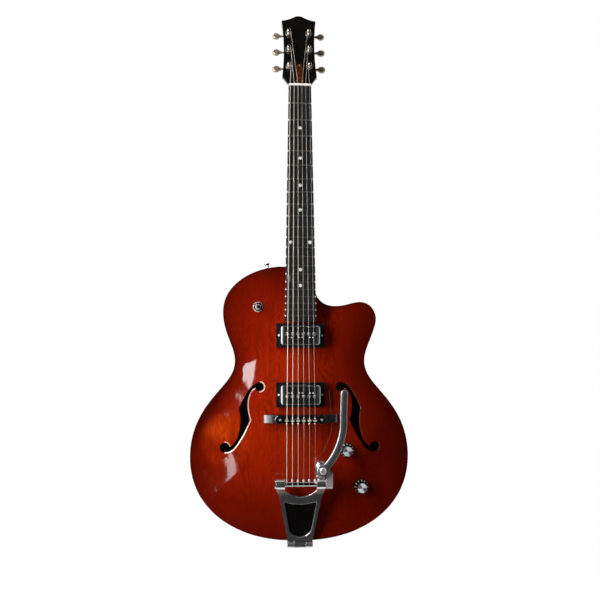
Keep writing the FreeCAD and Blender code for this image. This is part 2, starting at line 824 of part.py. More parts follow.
def rod_cover(screws):
    top_z = COVER_END_Z - COVER_HALF * 0.8
    edges = [line((-COVER_HALF, COVER_START_Z), (COVER_HALF, COVER_START_Z)),
             line((COVER_HALF, COVER_START_Z), (COVER_HALF * 0.8, top_z)),
             arc((COVER_HALF * 0.8, top_z), (0, COVER_END_Z), (-COVER_HALF * 0.8, top_z)),
             line((-COVER_HALF * 0.8, top_z), (-COVER_HALF, COVER_START_Z))]
    return on_head(slab(edges, -COVER_THICKNESS, 0)).cut(screws)


# Tuners, in the head frame
def tuner_bushing(x, z):
    sleeve = tube(V(x, 0, z), Y_AXIS, BUSHING_RADIUS, POST_RADIUS + RUNNING_FIT, HEAD_THICKNESS)
    flange = tube(V(x, -BUSHING_RISE, z), Y_AXIS, BUSHING_FLANGE, POST_RADIUS + RUNNING_FIT,
                  BUSHING_RISE)
    return on_head(sleeve.fuse(flange).removeSplitter())


def tuner_post(x, z):
    gear_mid = HEAD_THICKNESS + WORM_DEPTH
    gear_low = -gear_mid - GEAR_THICKNESS / 2
    gear_high = gear_low + GEAR_THICKNESS
    foot = -HEAD_THICKNESS - HOUSING_DEPTH + HOUSING_WALL + STRING_GAP
    waist_low = WINDING_HEIGHT - 4.5
    waist_high = WINDING_HEIGHT + 1.5
    profile = ((0, foot), (POST_RADIUS, foot), (POST_RADIUS, gear_low), (GEAR_RADIUS, gear_low),
               (GEAR_RADIUS, gear_high), (POST_RADIUS, gear_high), (POST_RADIUS, waist_low),
               (POST_WAIST, waist_low + 0.6),
               (POST_WAIST, waist_high), (POST_RADIUS + 0.3, waist_high + 1),
               (POST_RADIUS + 0.3, POST_RISE - 0.8),
               (POST_RADIUS - 0.5, POST_RISE), (0, POST_RISE))
    return on_head(turned(profile, V(x, 0, z), -Y_AXIS))


def tuner_button(x, z, side):
    depth = HEAD_THICKNESS + WORM_DEPTH
    worm_z = z + WORM_OFFSET
    start = V(x - side * WORM_LENGTH / 2, depth, worm_z)
    out = V(side, 0, 0)
    worm = rod(start, out, WORM_RADIUS, WORM_LENGTH)
    reach = BUTTON_X - abs(x) - BUTTON_WIDTH / 4
    shaft = rod(V(x, depth, worm_z), out, TUNER_SHAFT, reach)
    collar_start = V(side * (BUTTON_X - BUTTON_WIDTH / 2 - 2.5), depth, worm_z)
    collar = rod(collar_start, out, TUNER_SHAFT * 1.5, 4)
    rim = Part.Ellipse(ORIGIN, BUTTON_WIDTH / 2, BUTTON_HEIGHT / 2).toShape()
    oval = Part.Face(Part.Wire(rim)).extrude(V(0, 0, BUTTON_THICKNESS))
    oval = oval.makeFillet(BUTTON_THICKNESS * 0.36, [e for e in oval.Edges if len(e.Vertexes) == 1])
    turn = FreeCAD.Rotation(X_AXIS, Z_AXIS, -Y_AXIS, "ZXY")
    oval.Placement = FreeCAD.Placement(V(side * BUTTON_X, depth + BUTTON_THICKNESS / 2, worm_z), turn)
    return on_head(worm.fuse([shaft, collar, oval]).removeSplitter())


def tuner_housing(x, z, side):
    back = HEAD_THICKNESS + HOUSING_DEPTH
    low = z - HOUSING_HALF
    high = z + WORM_OFFSET + WORM_RADIUS + HOUSING_WALL * 2
    wall = HOUSING_WALL
    shell = box(x - HOUSING_HALF, x + HOUSING_HALF, HEAD_THICKNESS, back, low, high)
    rounded = [e for e in shell.Edges if min(v.Y for v in e.Vertexes) > HEAD_THICKNESS + wall]
    shell = shell.makeFillet(wall, rounded)
    inside = box(x - HOUSING_HALF + wall, x + HOUSING_HALF - wall, HEAD_THICKNESS, back - wall,
                 low + wall, high - wall)
    shell = shell.cut(inside)
    lug = box(x - 3.5, x + 3.5, HEAD_THICKNESS, HEAD_THICKNESS + wall, low - 7, low)
    exit_hole = rod(V(x, HEAD_THICKNESS + WORM_DEPTH, z + WORM_OFFSET), V(side, 0, 0),
                    TUNER_SHAFT + RUNNING_FIT,
                    HOUSING_HALF * 2)
    return on_head(shell.fuse(lug).removeSplitter().cut(exit_hole))


def housing_screw(x, z):
    at = z - HOUSING_HALF - 3.8
    profile = ((0, 0), (0.9, 0), (0.9, 6), (2.2, 6), (1.8, 7), (0, 7.3))
    return on_head(turned(profile, V(x, HEAD_THICKNESS + HOUSING_WALL - 6, at), Y_AXIS))


# Pickups
def string_height(z):
    below = (NUT_POINT.z - z) / math.cos(LEAN)
    plane = BOARD_HEIGHT + (below - fret_distance(BODY_FRET)) * math.sin(LEAN)
    return plane + NUT_ACTION + (BRIDGE_ACTION - NUT_ACTION) * below / SCALE


def pickup(z, facing):
    surface = top_height(0, z)
    ring_top = front(surface + RING_RISE)
    top = front(string_height(z) - PICKUP_STRING_GAP)
    low = top + COVER_DEPTH
    ring = rounded_block(0, z, RING_WIDTH, RING_LENGTH, RING_CORNER, ring_top, INNER_FRONT)
    window = rounded_block(0, z, COVER_WIDTH + 2 * PICKUP_GAP, COVER_LENGTH + 2 * PICKUP_GAP,
                           COVER_CORNER + PICKUP_GAP,
                           ring_top, INNER_FRONT)
    ring = ring.cut(window).cut(ENVELOPE)
    cover = rounded_block(0, z, COVER_WIDTH, COVER_LENGTH, COVER_CORNER, top, low)
    inside = rounded_block(0, z, COVER_WIDTH - 2 * COVER_WALL, COVER_LENGTH - 2 * COVER_WALL,
                           COVER_CORNER - COVER_WALL,
                           top + COVER_TOP, low)
    insert = rounded_block(0, z, INSERT_WIDTH, INSERT_LENGTH, COVER_CORNER / 2, top, top + COVER_TOP)
    cover = cover.cut(inside).cut(insert)
    screws = []
    pole_z = z + facing * POLE_ROW
    shank = COVER_DEPTH * 0.6
    for number in range(len(GAUGES)):
        x = POLE_PITCH * (number - (len(GAUGES) - 1) / 2)
        profile = ((0, -POLE_RISE), (POLE_RADIUS * 0.8, -POLE_RISE), (POLE_RADIUS, -POLE_RISE * 0.4),
                   (POLE_RADIUS, 0),
                   (POLE_RADIUS / 2, 0), (POLE_RADIUS / 2, shank), (0, shank))
        pole = turned(profile, V(x, top, pole_z), Y_AXIS)
        slot = box(x - POLE_RADIUS, x + POLE_RADIUS, top - POLE_RISE, top - POLE_RISE * 0.3,
                   pole_z - 0.35, pole_z + 0.35)
        screws.append(pole.cut(slot))
    small_z = z - facing * SMALL_ROW
    for pair in (-SMALL_PAIR_PITCH, 0, SMALL_PAIR_PITCH):
        for x in (pair - SMALL_PAIR_HALF, pair + SMALL_PAIR_HALF):
            profile = ((0, -0.5), (SMALL_RADIUS * 0.7, -0.5), (SMALL_RADIUS, 0), (SMALL_RADIUS / 2, 0),
                       (SMALL_RADIUS / 2, shank / 2), (0, shank / 2))
            screws.append(turned(profile, V(x, top, small_z), Y_AXIS))
    base_y = top + COVER_TOP
    coils = []
    half = COVER_WIDTH / 2 - COVER_WALL * 4
    for centre in (-1, 1):
        inner_z = z + centre * 1.0
        outer_z = z + centre * (COVER_LENGTH / 2 - COVER_WALL * 2)
        coil = box(-half, half, base_y, low - COVER_WALL * 3, *ordered(inner_z, outer_z))
        coils.append(coil.cut(screws))
    floor_y = low - COVER_WALL * 3
    inset = COVER_LENGTH / 2 - COVER_WALL * 1.6
    floor = box(-half, half, floor_y, low, z - inset, z + inset)
    legs = box(-LEG_REACH, LEG_REACH, low, low + COVER_WALL * 1.5, z - LEG_HALF, z + LEG_HALF)
    ring_screws = []
    for x in (-RING_SCREW_X, RING_SCREW_X):
        length = low + COVER_WALL * 2.5 - ring_top
        thread = RING_SCREW_RADIUS
        profile = ((0, -0.9), (1.4, -0.9), (1.9, 0), (thread, 0), (thread, length), (0, length))
        ring_screws.append(turned(profile, V(x, ring_top, z), Y_AXIS))
    coils.append(floor.fuse(legs).removeSplitter().cut(ring_screws))
    clearances = [rod(V(x, ring_top, z), Y_AXIS, RING_SCREW_RADIUS + HOLE_GAP, RING_RISE * 3)
                  for x in (-RING_SCREW_X, RING_SCREW_X)]
    return {"ring": ring.cut(clearances), "cover": cover, "insert": insert.cut(screws), "coils": coils,
            "screws": screws + ring_screws}


def pickup_hole(z):
    y0 = front(TOP_ARCH + PLATE_EDGE)
    window = rounded_block(0, z, COVER_WIDTH + 2 * PICKUP_GAP, COVER_LENGTH + 2 * PICKUP_GAP,
                           COVER_CORNER + PICKUP_GAP,
                           y0, INNER_FRONT)
    side = LEG_HALF + PICKUP_GAP
    reach = LEG_REACH + PICKUP_GAP
    return window.fuse(box(-reach, reach, y0, INNER_FRONT, z - side, z + side))


# Bridge
SADDLE_Z = NUT_POINT.z - SCALE * math.cos(LEAN)
STUD_XS = (-STUD_SPACING / 2, STUD_SPACING / 2)
WHEEL_BASE = BASE_HEIGHT + WHEEL_LIFT
BRIDGE_BASE = WHEEL_BASE + WHEEL_THICKNESS
BRIDGE_TOP = BRIDGE_BASE + BRIDGE_THICKNESS


def saddle_string_height(number):
    return string_height(SADDLE_Z) - dome_drop(string_x(number, BRIDGE_SPREAD))


def bridge_base():
    half = BASE_WIDTH / 2
    shoulder = STUD_SPACING / 2 + WHEEL_RADIUS / 2
    low = TOP_ARCH / 2
    top = [(half, low), (half, BASE_HEIGHT - 8), (half - 4, BASE_HEIGHT - 5),
           (shoulder + 6, BASE_HEIGHT - 2.5),
           (shoulder, BASE_HEIGHT)]
    points = [(-x, h) for x, h in top] + [(x, h) for x, h in reversed(top)]
    corners = [V(x, front(h), SADDLE_Z - BASE_LENGTH / 2) for x, h in points]
    block = Part.Face(Part.makePolygon(corners + corners[:1])).extrude(V(0, 0, BASE_LENGTH))
    return block.cut(ENVELOPE).cut(bridge_studs())


def bridge_studs():
    length = BRIDGE_TOP - BASE_HEIGHT + BRIDGE_THICKNESS
    start = front(BASE_HEIGHT - BRIDGE_THICKNESS)
    return [rod(V(x, start, SADDLE_Z), -Y_AXIS, STUD_RADIUS, length) for x in STUD_XS]


def thumbwheel(x):
    wheel = tube(V(x, front(WHEEL_BASE), SADDLE_Z), -Y_AXIS, WHEEL_RADIUS, STUD_RADIUS + RUNNING_FIT,
                 WHEEL_THICKNESS)
    return wheel


def bridge_body():
    half = BRIDGE_WIDTH / 2
    body = rounded_block(0, SADDLE_Z, BRIDGE_WIDTH, BRIDGE_LENGTH, BRIDGE_LENGTH / 2 - 0.5,
                         front(BRIDGE_TOP), front(BRIDGE_BASE))
    inside = BRIDGE_SPREAD / 2 + SADDLE_WIDTH / 2 + RUNNING_FIT
    trough = box(-inside, inside, front(BRIDGE_TOP), front(BRIDGE_TOP - TROUGH_DEPTH),
                 SADDLE_Z - TROUGH_LENGTH / 2,
                 SADDLE_Z + TROUGH_LENGTH / 2)
    body = body.cut(trough)
    for x in STUD_XS:
        body = body.cut(rod(V(x, front(BRIDGE_TOP), SADDLE_Z), Y_AXIS, STUD_RADIUS + RUNNING_FIT * 2,
                            BRIDGE_THICKNESS))
    return body.cut([saddle_screw(number) for number in range(len(GAUGES))])


def saddle_screw(number):
    x = string_x(number, BRIDGE_SPREAD)
    height = BRIDGE_TOP - TROUGH_DEPTH / 2
    start = SADDLE_Z - BRIDGE_LENGTH / 2 - 1.4
    profile = ((0, 0), (1.5, 0), (1.5, 1.4), (0.8, 1.4), (0.8, BRIDGE_LENGTH), (0, BRIDGE_LENGTH))
    return turned(profile, V(x, front(height), start), Z_AXIS)


def saddle(number):
    x = string_x(number, BRIDGE_SPREAD)
    half = SADDLE_WIDTH / 2
    top = saddle_string_height(number) - HOLE_GAP
    low = BRIDGE_TOP - TROUGH_DEPTH
    points = [(-SADDLE_LENGTH / 2, low), (SADDLE_LENGTH / 2, low), (SADDLE_LENGTH / 2, top - 1.2),
              (0.6, top + 0.3),
              (-0.6, top + 0.3), (-SADDLE_LENGTH / 2, top - 1.2)]
    corners = [V(x - half, front(h), SADDLE_Z + z) for z, h in points]
    block = Part.Face(Part.makePolygon(corners + corners[:1])).extrude(V(SADDLE_WIDTH, 0, 0))
    side = GAUGES[number] / 2 + HOLE_GAP
    notch = box(x - side, x + side, front(top + 2), front(top), SADDLE_Z - SADDLE_LENGTH,
                SADDLE_Z + SADDLE_LENGTH)
    return block.cut(notch).cut(saddle_screw(number))


# Tailpiece, in a frame that leans from the hinge pin up to the string bar
TAIL_RISE = BAR_HEIGHT - HINGE_HEIGHT
TAIL_RUN = BAR_Z - HINGE_Z
TAIL_LEAN = math.degrees(math.atan2(TAIL_RISE, TAIL_RUN))
BAR_DISTANCE = math.hypot(TAIL_RISE, TAIL_RUN)
HINGE_POINT = V(0, front(HINGE_HEIGHT), HINGE_Z)
TAIL_PLACE = FreeCAD.Placement(HINGE_POINT, FreeCAD.Rotation(X_AXIS, TAIL_LEAN))
BAR_POINT = V(0, front(BAR_HEIGHT), BAR_Z)


def on_tail(shape):
    shape.Placement = TAIL_PLACE.multiply(shape.Placement)
    return shape


def along_bar(start, end, radius):
    return rod(BAR_POINT + V(start, 0, 0), X_AXIS, radius, end - start)


def window_edges():
    low = WINDOW_BOTTOM_HALF
    high = WINDOW_TOP_HALF
    side_z = WINDOW_BOTTOM + WINDOW_BOTTOM_HALF * 0.7
    corner_z = WINDOW_TOP + 4.7
    return [arc((-low, side_z), (0, WINDOW_BOTTOM), (low, side_z)),
            line((low, side_z), (high, corner_z)),
            arc((high, corner_z), (0, WINDOW_TOP), (-high, corner_z)),
            line((-high, corner_z), (-low, side_z))]


def tailpiece_frame():
    half = FRAME_THICKNESS / 2
    start = FRAME_START_HALF
    wide = FRAME_SHOULDER_HALF
    arm = BEARING_INNER_X
    edge = BEARING_OUTER_X
    edges = [line((-start, FRAME_START), (start, FRAME_START)),
             line((start, FRAME_START), (wide, FRAME_SHOULDER)),
             line((wide, FRAME_SHOULDER), (edge, BAR_DISTANCE - BEARING_RADIUS)),
             line((edge, BAR_DISTANCE - BEARING_RADIUS), (edge, BAR_DISTANCE)),
             line((edge, BAR_DISTANCE), (arm, BAR_DISTANCE)),
             line((arm, BAR_DISTANCE), (arm, FRAME_ARC_END)),
             arc((arm, FRAME_ARC_END), (0, FRAME_DIP), (-arm, FRAME_ARC_END)),
             line((-arm, FRAME_ARC_END), (-arm, BAR_DISTANCE)),
             line((-arm, BAR_DISTANCE), (-edge, BAR_DISTANCE)),
             line((-edge, BAR_DISTANCE), (-edge, BAR_DISTANCE - BEARING_RADIUS)),
             line((-edge, BAR_DISTANCE - BEARING_RADIUS), (-wide, FRAME_SHOULDER)),
             line((-wide, FRAME_SHOULDER), (-start, FRAME_START))]
    sheet = slab(edges, -half, half).cut(slab(window_edges(), -half, half))
    tongue = box(-HINGE_MIDDLE / 2, HINGE_MIDDLE / 2, -half, half, 0, FRAME_START)
    knuckle = rod(V(-HINGE_MIDDLE / 2, 0, 0), X_AXIS, HINGE_RADIUS, HINGE_MIDDLE)
    casting = on_tail(sheet.fuse([tongue, knuckle]))
    housings = [along_bar(-edge, -arm, BEARING_RADIUS), along_bar(arm, edge, BEARING_RADIUS),
                along_bar(-edge - 2.5, -edge, BEARING_RADIUS - 1.5)]
    seat_low = SEAT_HEIGHT - SEAT_THICKNESS
    pedestal = box(arm, edge, front(BAR_HEIGHT), front(seat_low), BAR_Z - BEARING_RADIUS * 0.8,
                   BAR_Z + BEARING_RADIUS * 0.8)
    bridge = box(arm, edge, front(SEAT_HEIGHT), front(seat_low), BAR_Z, PIVOT_Z)
    seat = rod(V(PIVOT_X, front(SEAT_HEIGHT), PIVOT_Z), Y_AXIS, SEAT_RADIUS, SEAT_THICKNESS)
    casting = casting.fuse(housings + [pedestal, bridge, seat]).removeSplitter()
    for bush in (along_bar(-edge, -arm, BUSH_RADIUS), along_bar(arm, edge, BUSH_RADIUS)):
        casting = casting.cut(bush)
    return casting.cut(hinge_pin())


def tailpiece_panel():
    return on_tail(slab(window_edges(), FRAME_THICKNESS / 2 - PANEL_THICKNESS, FRAME_THICKNESS / 2))


def hinge_pin():
    return rod(HINGE_POINT - V(HINGE_WIDTH / 2, 0, 0), X_AXIS, HINGE_PIN_RADIUS, HINGE_WIDTH)


def tailpiece_hinge(strap_screw):
    half = HINGE_WIDTH / 2
    inner = HINGE_MIDDLE / 2 + HINGE_GAP
    back = HINGE_POINT.y + HINGE_RADIUS
    sheet = box(-half, half, back, back + HINGE_PLATE_LENGTH, -HINGE_PLATE, 0)
    leaf = sheet
    for start in (-half, inner):
        barrel = rod(V(start, HINGE_POINT.y, HINGE_Z), X_AXIS, HINGE_RADIUS, half - inner)
        web = box(start, start + half - inner, HINGE_POINT.y, back, HINGE_Z + HINGE_RADIUS / 2, 0)
        leaf = leaf.fuse([barrel, web])
    return leaf.removeSplitter().cut(hinge_pin()).cut(strap_screw)


def vibrato_bar():
    end = BEARING_OUTER_X + LEVER_GAP + HUB_LENGTH
    bar = along_bar(-BEARING_OUTER_X + HINGE_GAP, end, BAR_RADIUS)
    pins = [rod(BAR_POINT + V(string_x(n, BRIDGE_SPREAD), 0, 0), Z_AXIS, BAR_PIN_RADIUS, BAR_PIN_LENGTH)
            for n in range(len(GAUGES))]
    return bar.fuse(pins).removeSplitter()


def ball_ends():
    start = BAR_RADIUS + STRING_GAP
    return [tube(BAR_POINT + V(string_x(n, BRIDGE_SPREAD), 0, start), Z_AXIS, BALL_RADIUS,
                 BAR_PIN_RADIUS, BALL_LENGTH)
            for n in range(len(GAUGES))]


def bar_bushings():
    pieces = []
    for start in (-BEARING_OUTER_X, BEARING_INNER_X):
        end = start + BEARING_OUTER_X - BEARING_INNER_X
        pieces.append(along_bar(start, end, BUSH_RADIUS).cut(along_bar(start, end,
                                                                       BAR_RADIUS + RUNNING_FIT)))
    return pieces


def arm_bracket(screw):
    start = BEARING_OUTER_X + LEVER_GAP
    end = start + HUB_LENGTH
    hub = along_bar(start, end, HUB_RADIUS)
    top = front(LEVER_HEIGHT + LEVER_THICKNESS)
    low = front(LEVER_HEIGHT)
    eye = SEAT_RADIUS - 1
    points = [(start, BAR_Z - 3), (end, BAR_Z - 3), (end, PIVOT_Z - 6),
              (PIVOT_X + eye * 0.7, PIVOT_Z + eye * 0.7),
              (PIVOT_X, PIVOT_Z), (PIVOT_X + 2, PIVOT_Z - eye), (start, PIVOT_Z - eye - 2)]
    lever = polygon_slab(points, top, low)
    boss = rod(V(PIVOT_X, top, PIVOT_Z), Y_AXIS, eye, LEVER_THICKNESS)
    web = box(start, end, top, front(BAR_HEIGHT), BAR_Z - 3, BAR_Z + 3)
    whole = hub.fuse([lever, boss, web]).removeSplitter()
    return whole.cut(along_bar(start, end, BAR_RADIUS)).cut(screw)


def arm_screw():
    base = LEVER_HEIGHT
    eye_top = LEVER_THICKNESS + ARM_WASHER + ARM_THICKNESS + STRING_GAP
    rise = eye_top + ARM_SCREW_RISE
    profile = ((0, 0), (ARM_SCREW_RADIUS, 0), (ARM_SCREW_RADIUS, eye_top), (ARM_SCREW_HEAD, eye_top),
               (ARM_SCREW_HEAD, eye_top + ARM_SCREW_RISE * 0.6), (ARM_SCREW_HEAD * 0.75, rise),
               (0, rise))
    screw = turned(profile, V(PIVOT_X, front(base), PIVOT_Z), -Y_AXIS)
    slot = box(PIVOT_X - ARM_SCREW_HEAD, PIVOT_X + ARM_SCREW_HEAD, front(base + rise),
               front(base + rise - 1.2),
               PIVOT_Z - 0.6, PIVOT_Z + 0.6)
    return screw.cut(slot)


def vibrato_arm():
    low = LEVER_HEIGHT + LEVER_THICKNESS + ARM_WASHER
    y0 = front(low + ARM_THICKNESS)
    y1 = front(low)
    half = ARM_WIDTH / 2
    centre = Part.Arc(V(PIVOT_X, 0, PIVOT_Z), V(ARM_MIDDLE[0], 0, ARM_MIDDLE[1]),
                      V(ARM_STRAIGHT[0], 0, ARM_STRAIGHT[1]))
    sides = []
    for offset in (half, -half):
        row = []
        for share in (0, 0.5, 1):
            at = centre.FirstParameter + (centre.LastParameter - centre.FirstParameter) * share
            here = centre.value(at)
            heading = centre.tangent(at)[0]
            row.append((here.x + heading.z * offset, here.z - heading.x * offset))
        sides.append(row)
    right, left = sides
    tip_right = (right[2][0] + 1, ARM_TIP_Z - half)
    tip_left = (left[2][0] + 1, ARM_TIP_Z - half)
    tip = ((tip_right[0] + tip_left[0]) / 2, ARM_TIP_Z)
    edges = [arc(*right), line(right[2], tip_right), arc(tip_right, tip, tip_left),
             line(tip_left, left[2]),
             arc(left[2], left[1], left[0]), line(left[0], right[0])]
    blade = slab(edges, y0, y1)
    bend_z = PIVOT_Z + ARM_BEND
    above = box(-BODY_LENGTH, BODY_LENGTH, y0, y1, bend_z, BODY_LENGTH)
    raised = blade.common(above)
    raised.rotate(V(0, y1, bend_z), X_AXIS, ARM_RISE)
    eye = rod(V(PIVOT_X, y0, PIVOT_Z), Y_AXIS, ARM_EYE_RADIUS, ARM_THICKNESS)
    bore = rod(V(PIVOT_X, y0, PIVOT_Z), Y_AXIS, ARM_SCREW_RADIUS + RUNNING_FIT, ARM_THICKNESS)
    return blade.cut(above).fuse([eye, raised]).removeSplitter().cut(bore)


def vibrato_spring():
    room = LEVER_HEIGHT - SEAT_HEIGHT - 2 * SPRING_WIRE - 2 * STRING_GAP
    pitch = room / SPRING_TURNS
    start = V(PIVOT_X, front(SEAT_HEIGHT + STRING_GAP + SPRING_WIRE), PIVOT_Z)
    stations = helix_stations(start, X_AXIS, Z_AXIS, -Y_AXIS, SPRING_RADIUS, pitch, SPRING_TURNS, 0)
    points = [point for point, direction in stations]
    apart = min((a - b).Length for i, a in enumerate(points) for b in points[i + 3:])
    print("vibrato spring: least gap between turns", round(apart - 2 * SPRING_WIRE, 2))
    return wire_solid(helix_edges(stations), SPRING_WIRE)


# Strings, from the ball end round the bar, over the saddle and nut, to the turns on the post
def string_path(number):
    gauge = GAUGES[number]
    half = gauge / 2
    bridge_x = string_x(number, BRIDGE_SPREAD)
    nut_x = string_x(number, NUT_SPREAD)
    wrap = BAR_RADIUS + STRING_GAP + half
    saddle_point = V(bridge_x, front(saddle_string_height(number) + half), SADDLE_Z)
    run = saddle_point - BAR_POINT - V(bridge_x, 0, 0)
    leave = math.atan2(-run.y, run.z) + math.acos(wrap / run.Length)

    def round_bar(angle):
        return BAR_POINT + V(bridge_x, -wrap * math.sin(angle), wrap * math.cos(angle))

    finish = math.radians(335)
    middle = (leave + finish) / 2
    arcs = []
    for start, end in ((finish, middle), (middle, leave)):
        arcs.append(Part.Arc(round_bar(start), round_bar((start + end) / 2), round_bar(end)).toShape())
    over_nut = NECK_PLACE.multVec(V(nut_x, -NUT_ACTION - half + dome_drop(nut_x), NUT_THICKNESS))
    bass = number < len(GAUGES) / 2
    level = number if bass else len(GAUGES) - 1 - number
    side = -1 if bass else 1
    post_x = side * TUNER_X
    post_z = TUNER_Z[level]
    local = HEAD_PLACE.inverse().multVec(over_nut)
    radius = POST_WAIST + STRING_GAP + half
    to_nut = V(local.x - post_x, 0, local.z - post_z)
    touch = math.atan2(to_nut.z, to_nut.x) - side * math.acos(radius / to_nut.Length)
    across = V(1, 0, 0)
    up = V(0, 0, -side)
    start = -side * touch
    centre = V(post_x, -WINDING_HEIGHT, post_z)
    pitch = gauge + WINDING_SPACE
    stations = helix_stations(centre, across, up, Y_AXIS, radius, pitch, WINDING_TURNS, start)
    turn = HEAD_PLACE.Rotation
    stations = [(HEAD_PLACE.multVec(point), turn.multVec(heading)) for point, heading in stations]
    first, heading = stations[0]
    lead = first - over_nut
    near = first - lead * (HEAD_DROP / lead.Length)
    lead.normalize()

    def bend(before, corner, after, angle):
        return STRING_BEND

    straight = corner_path([round_bar(leave), saddle_point, over_nut, near], bend)
    return arcs + straight + biarc(near, lead, first, heading) + helix_edges(stations)


def string(number):
    return wire_solid(string_path(number), GAUGES[number] / 2)


# Controls
def control(x, z):
    surface = top_height(x, z)
    under = surface - PLATE_WALL - POT_DROP
    base = V(x, front(surface + KNOB_LIFT), z)
    cap = KNOB_CAP_RADIUS
    shoulder = KNOB_HEIGHT * 0.47
    profile = ((POT_SHAFT, KNOB_RECESS_DEPTH), (KNOB_RECESS, KNOB_RECESS_DEPTH), (KNOB_RECESS, 0),
               (KNOB_RADIUS, 0),
               (KNOB_RADIUS, KNOB_HEIGHT * 0.15), (cap + 0.7, shoulder), (cap, shoulder + 0.3),
               (cap, KNOB_HEIGHT - 0.7),
               (cap - 0.7, KNOB_HEIGHT), (0, KNOB_HEIGHT), (0, POT_SHAFT_GRIP),
               (POT_SHAFT, POT_SHAFT_GRIP))
    knob = turned(profile, base, -Y_AXIS)
    depth = POT_DEPTH * 0.7
    foot = under - depth
    shaft = rod(V(x, front(foot), z), -Y_AXIS, POT_SHAFT, surface + KNOB_LIFT + POT_SHAFT_GRIP - foot)
    bush_top = surface + KNOB_RECESS_DEPTH * 0.75
    bore = POT_SHAFT + RUNNING_FIT
    can = turned(((0, under - POT_DEPTH), (POT_RADIUS, under - POT_DEPTH), (POT_RADIUS, under),
                  (POT_BUSHING, under),
                  (POT_BUSHING, bush_top), (bore, bush_top), (bore, foot - STRING_GAP),
                  (0, foot - STRING_GAP)),
                 V(x, front(0), z), -Y_AXIS)
    nut_low = front(surface - 1.5)
    nut_top = front(surface + KNOB_LIFT)
    ring = tube(V(x, nut_top, z), Y_AXIS, POT_NUT, POT_BUSHING, nut_low - nut_top).cut(ENVELOPE)
    hole = rod(V(x, front(TOP_ARCH + PLATE_EDGE), z), Y_AXIS, POT_BUSHING + HOLE_GAP,
               TOP_ARCH + PLATE_EDGE * 3)
    return {"knob": knob, "shaft": shaft, "can": can, "nut": ring, "hole": hole,
            "rear": V(x, front(under - POT_DEPTH), z)}


def selector():
    x = -SWITCH_X
    z = SWITCH_Z
    surface = top_height(x, z)
    under = surface - PLATE_WALL - POT_DROP
    seat = surface + 1.8
    washer = tube(V(x, front(seat), z), Y_AXIS, SWITCH_WASHER, SWITCH_BUSHING, PLATE_WALL).cut(ENVELOPE)
    nut_ring = tube(V(x, front(seat + 2.6), z), Y_AXIS, SWITCH_NUT, SWITCH_BUSHING, 2.6)
    bush = tube(V(x, front(seat + 3.0), z), Y_AXIS, SWITCH_BUSHING, SWITCH_BORE, seat + 3.0 - under)
    case = box(x - 11, x + 11, front(under), front(under - 26), z - 8, z + 8)
    hole = rod(V(x, front(TOP_ARCH + PLATE_EDGE), z), Y_AXIS, SWITCH_BUSHING + HOLE_GAP,
               TOP_ARCH + PLATE_EDGE * 3)
    lever = rod(V(x, front(under + STRING_GAP), z), -Y_AXIS, LEVER_ROD, seat + 9 - under)
    reach = SWITCH_BUSHING - STRING_GAP
    pivot = V(x - reach, front(surface + SWITCH_PIVOT), z)
    lever = lever.fuse(rod(pivot, X_AXIS, SWITCH_PIN, reach * 2)).removeSplitter()
    bush = bush.cut(rod(pivot - X_AXIS, X_AXIS, SWITCH_PIN + RUNNING_FIT, reach * 2 + 2))
    tip_base = seat + 5.5
    profile = ((0, 0), (LEVER_TIP * 0.6, 0), (LEVER_TIP * 0.85, LEVER_TIP_LENGTH * 0.4),
               (LEVER_TIP, LEVER_TIP_LENGTH * 0.75),
               (LEVER_TIP * 0.75, LEVER_TIP_LENGTH * 0.95), (0, LEVER_TIP_LENGTH))
    tip = turned(profile, V(x, front(tip_base), z), -Y_AXIS).cut(lever)
    print("selector pivot height", round(surface + SWITCH_PIVOT, 2))
    return {"fixed": [bush.fuse(case).removeSplitter(), washer, nut_ring], "lever": [lever, tip],
            "hole": hole,
            "rear": V(x, front(under - 26), z)}


def output_jack():
    seat, out = outline_at(JACK_X, JACK_Z)
    outside = HINGE_PLATE * 2
    body_radius = JACK_BUSHING * 2
    inner = -RIM_WALL - STRING_GAP * 2
    profile = ((JACK_BORE, outside), (JACK_BUSHING, outside), (JACK_BUSHING, inner),
               (body_radius, inner),
               (body_radius, -JACK_DEPTH), (0, -JACK_DEPTH), (0, -JACK_DEPTH + 2),
               (JACK_BORE, -JACK_DEPTH + 2))
    socket = turned(profile, seat, out)
    washer = tube(seat + out * STRING_GAP, out, JACK_BUSHING * 1.8, JACK_BUSHING, 1.0)
    nut_ring = tube(seat + out * (1.0 + STRING_GAP), out, JACK_BUSHING * 1.5, JACK_BUSHING, 2.2)
    hole = rod(seat - out * RIM_WALL * 2, out, JACK_BUSHING + HOLE_GAP, RIM_WALL * 4)
    print("output jack seat", [round(c, 3) for c in seat], "axis", [round(c, 5) for c in out])
    return {"solids": [socket, washer, nut_ring], "hole": hole, "rear": seat - out * JACK_DEPTH,
            "axis": out}


def strap_button(seat, out):
    height = STRAP_HEIGHT
    profile = ((0, 0), (6.5, 0), (6.0, height * 0.12), (3.4, height * 0.33), (3.1, height * 0.6),
               (5.4, height * 0.84),
               (5.6, height * 0.92), (4.4, height), (0, height))
    shank = rod(seat - out * STRAP_SCREW_LENGTH, out, STRAP_SCREW, STRAP_SCREW_LENGTH)
    print("strap button seat", [round(c, 2) for c in seat], "axis", [round(c, 4) for c in out])
    return turned(profile, seat, out).fuse(shank).removeSplitter(), shank


def cable_bend(before, corner, after, turn):
    shorter = min((corner - before).Length, (after - corner).Length)
    radius = 0.45 * shorter / math.tan(turn / 2)
    print("cable bend radius", round(radius, 1))
    return radius


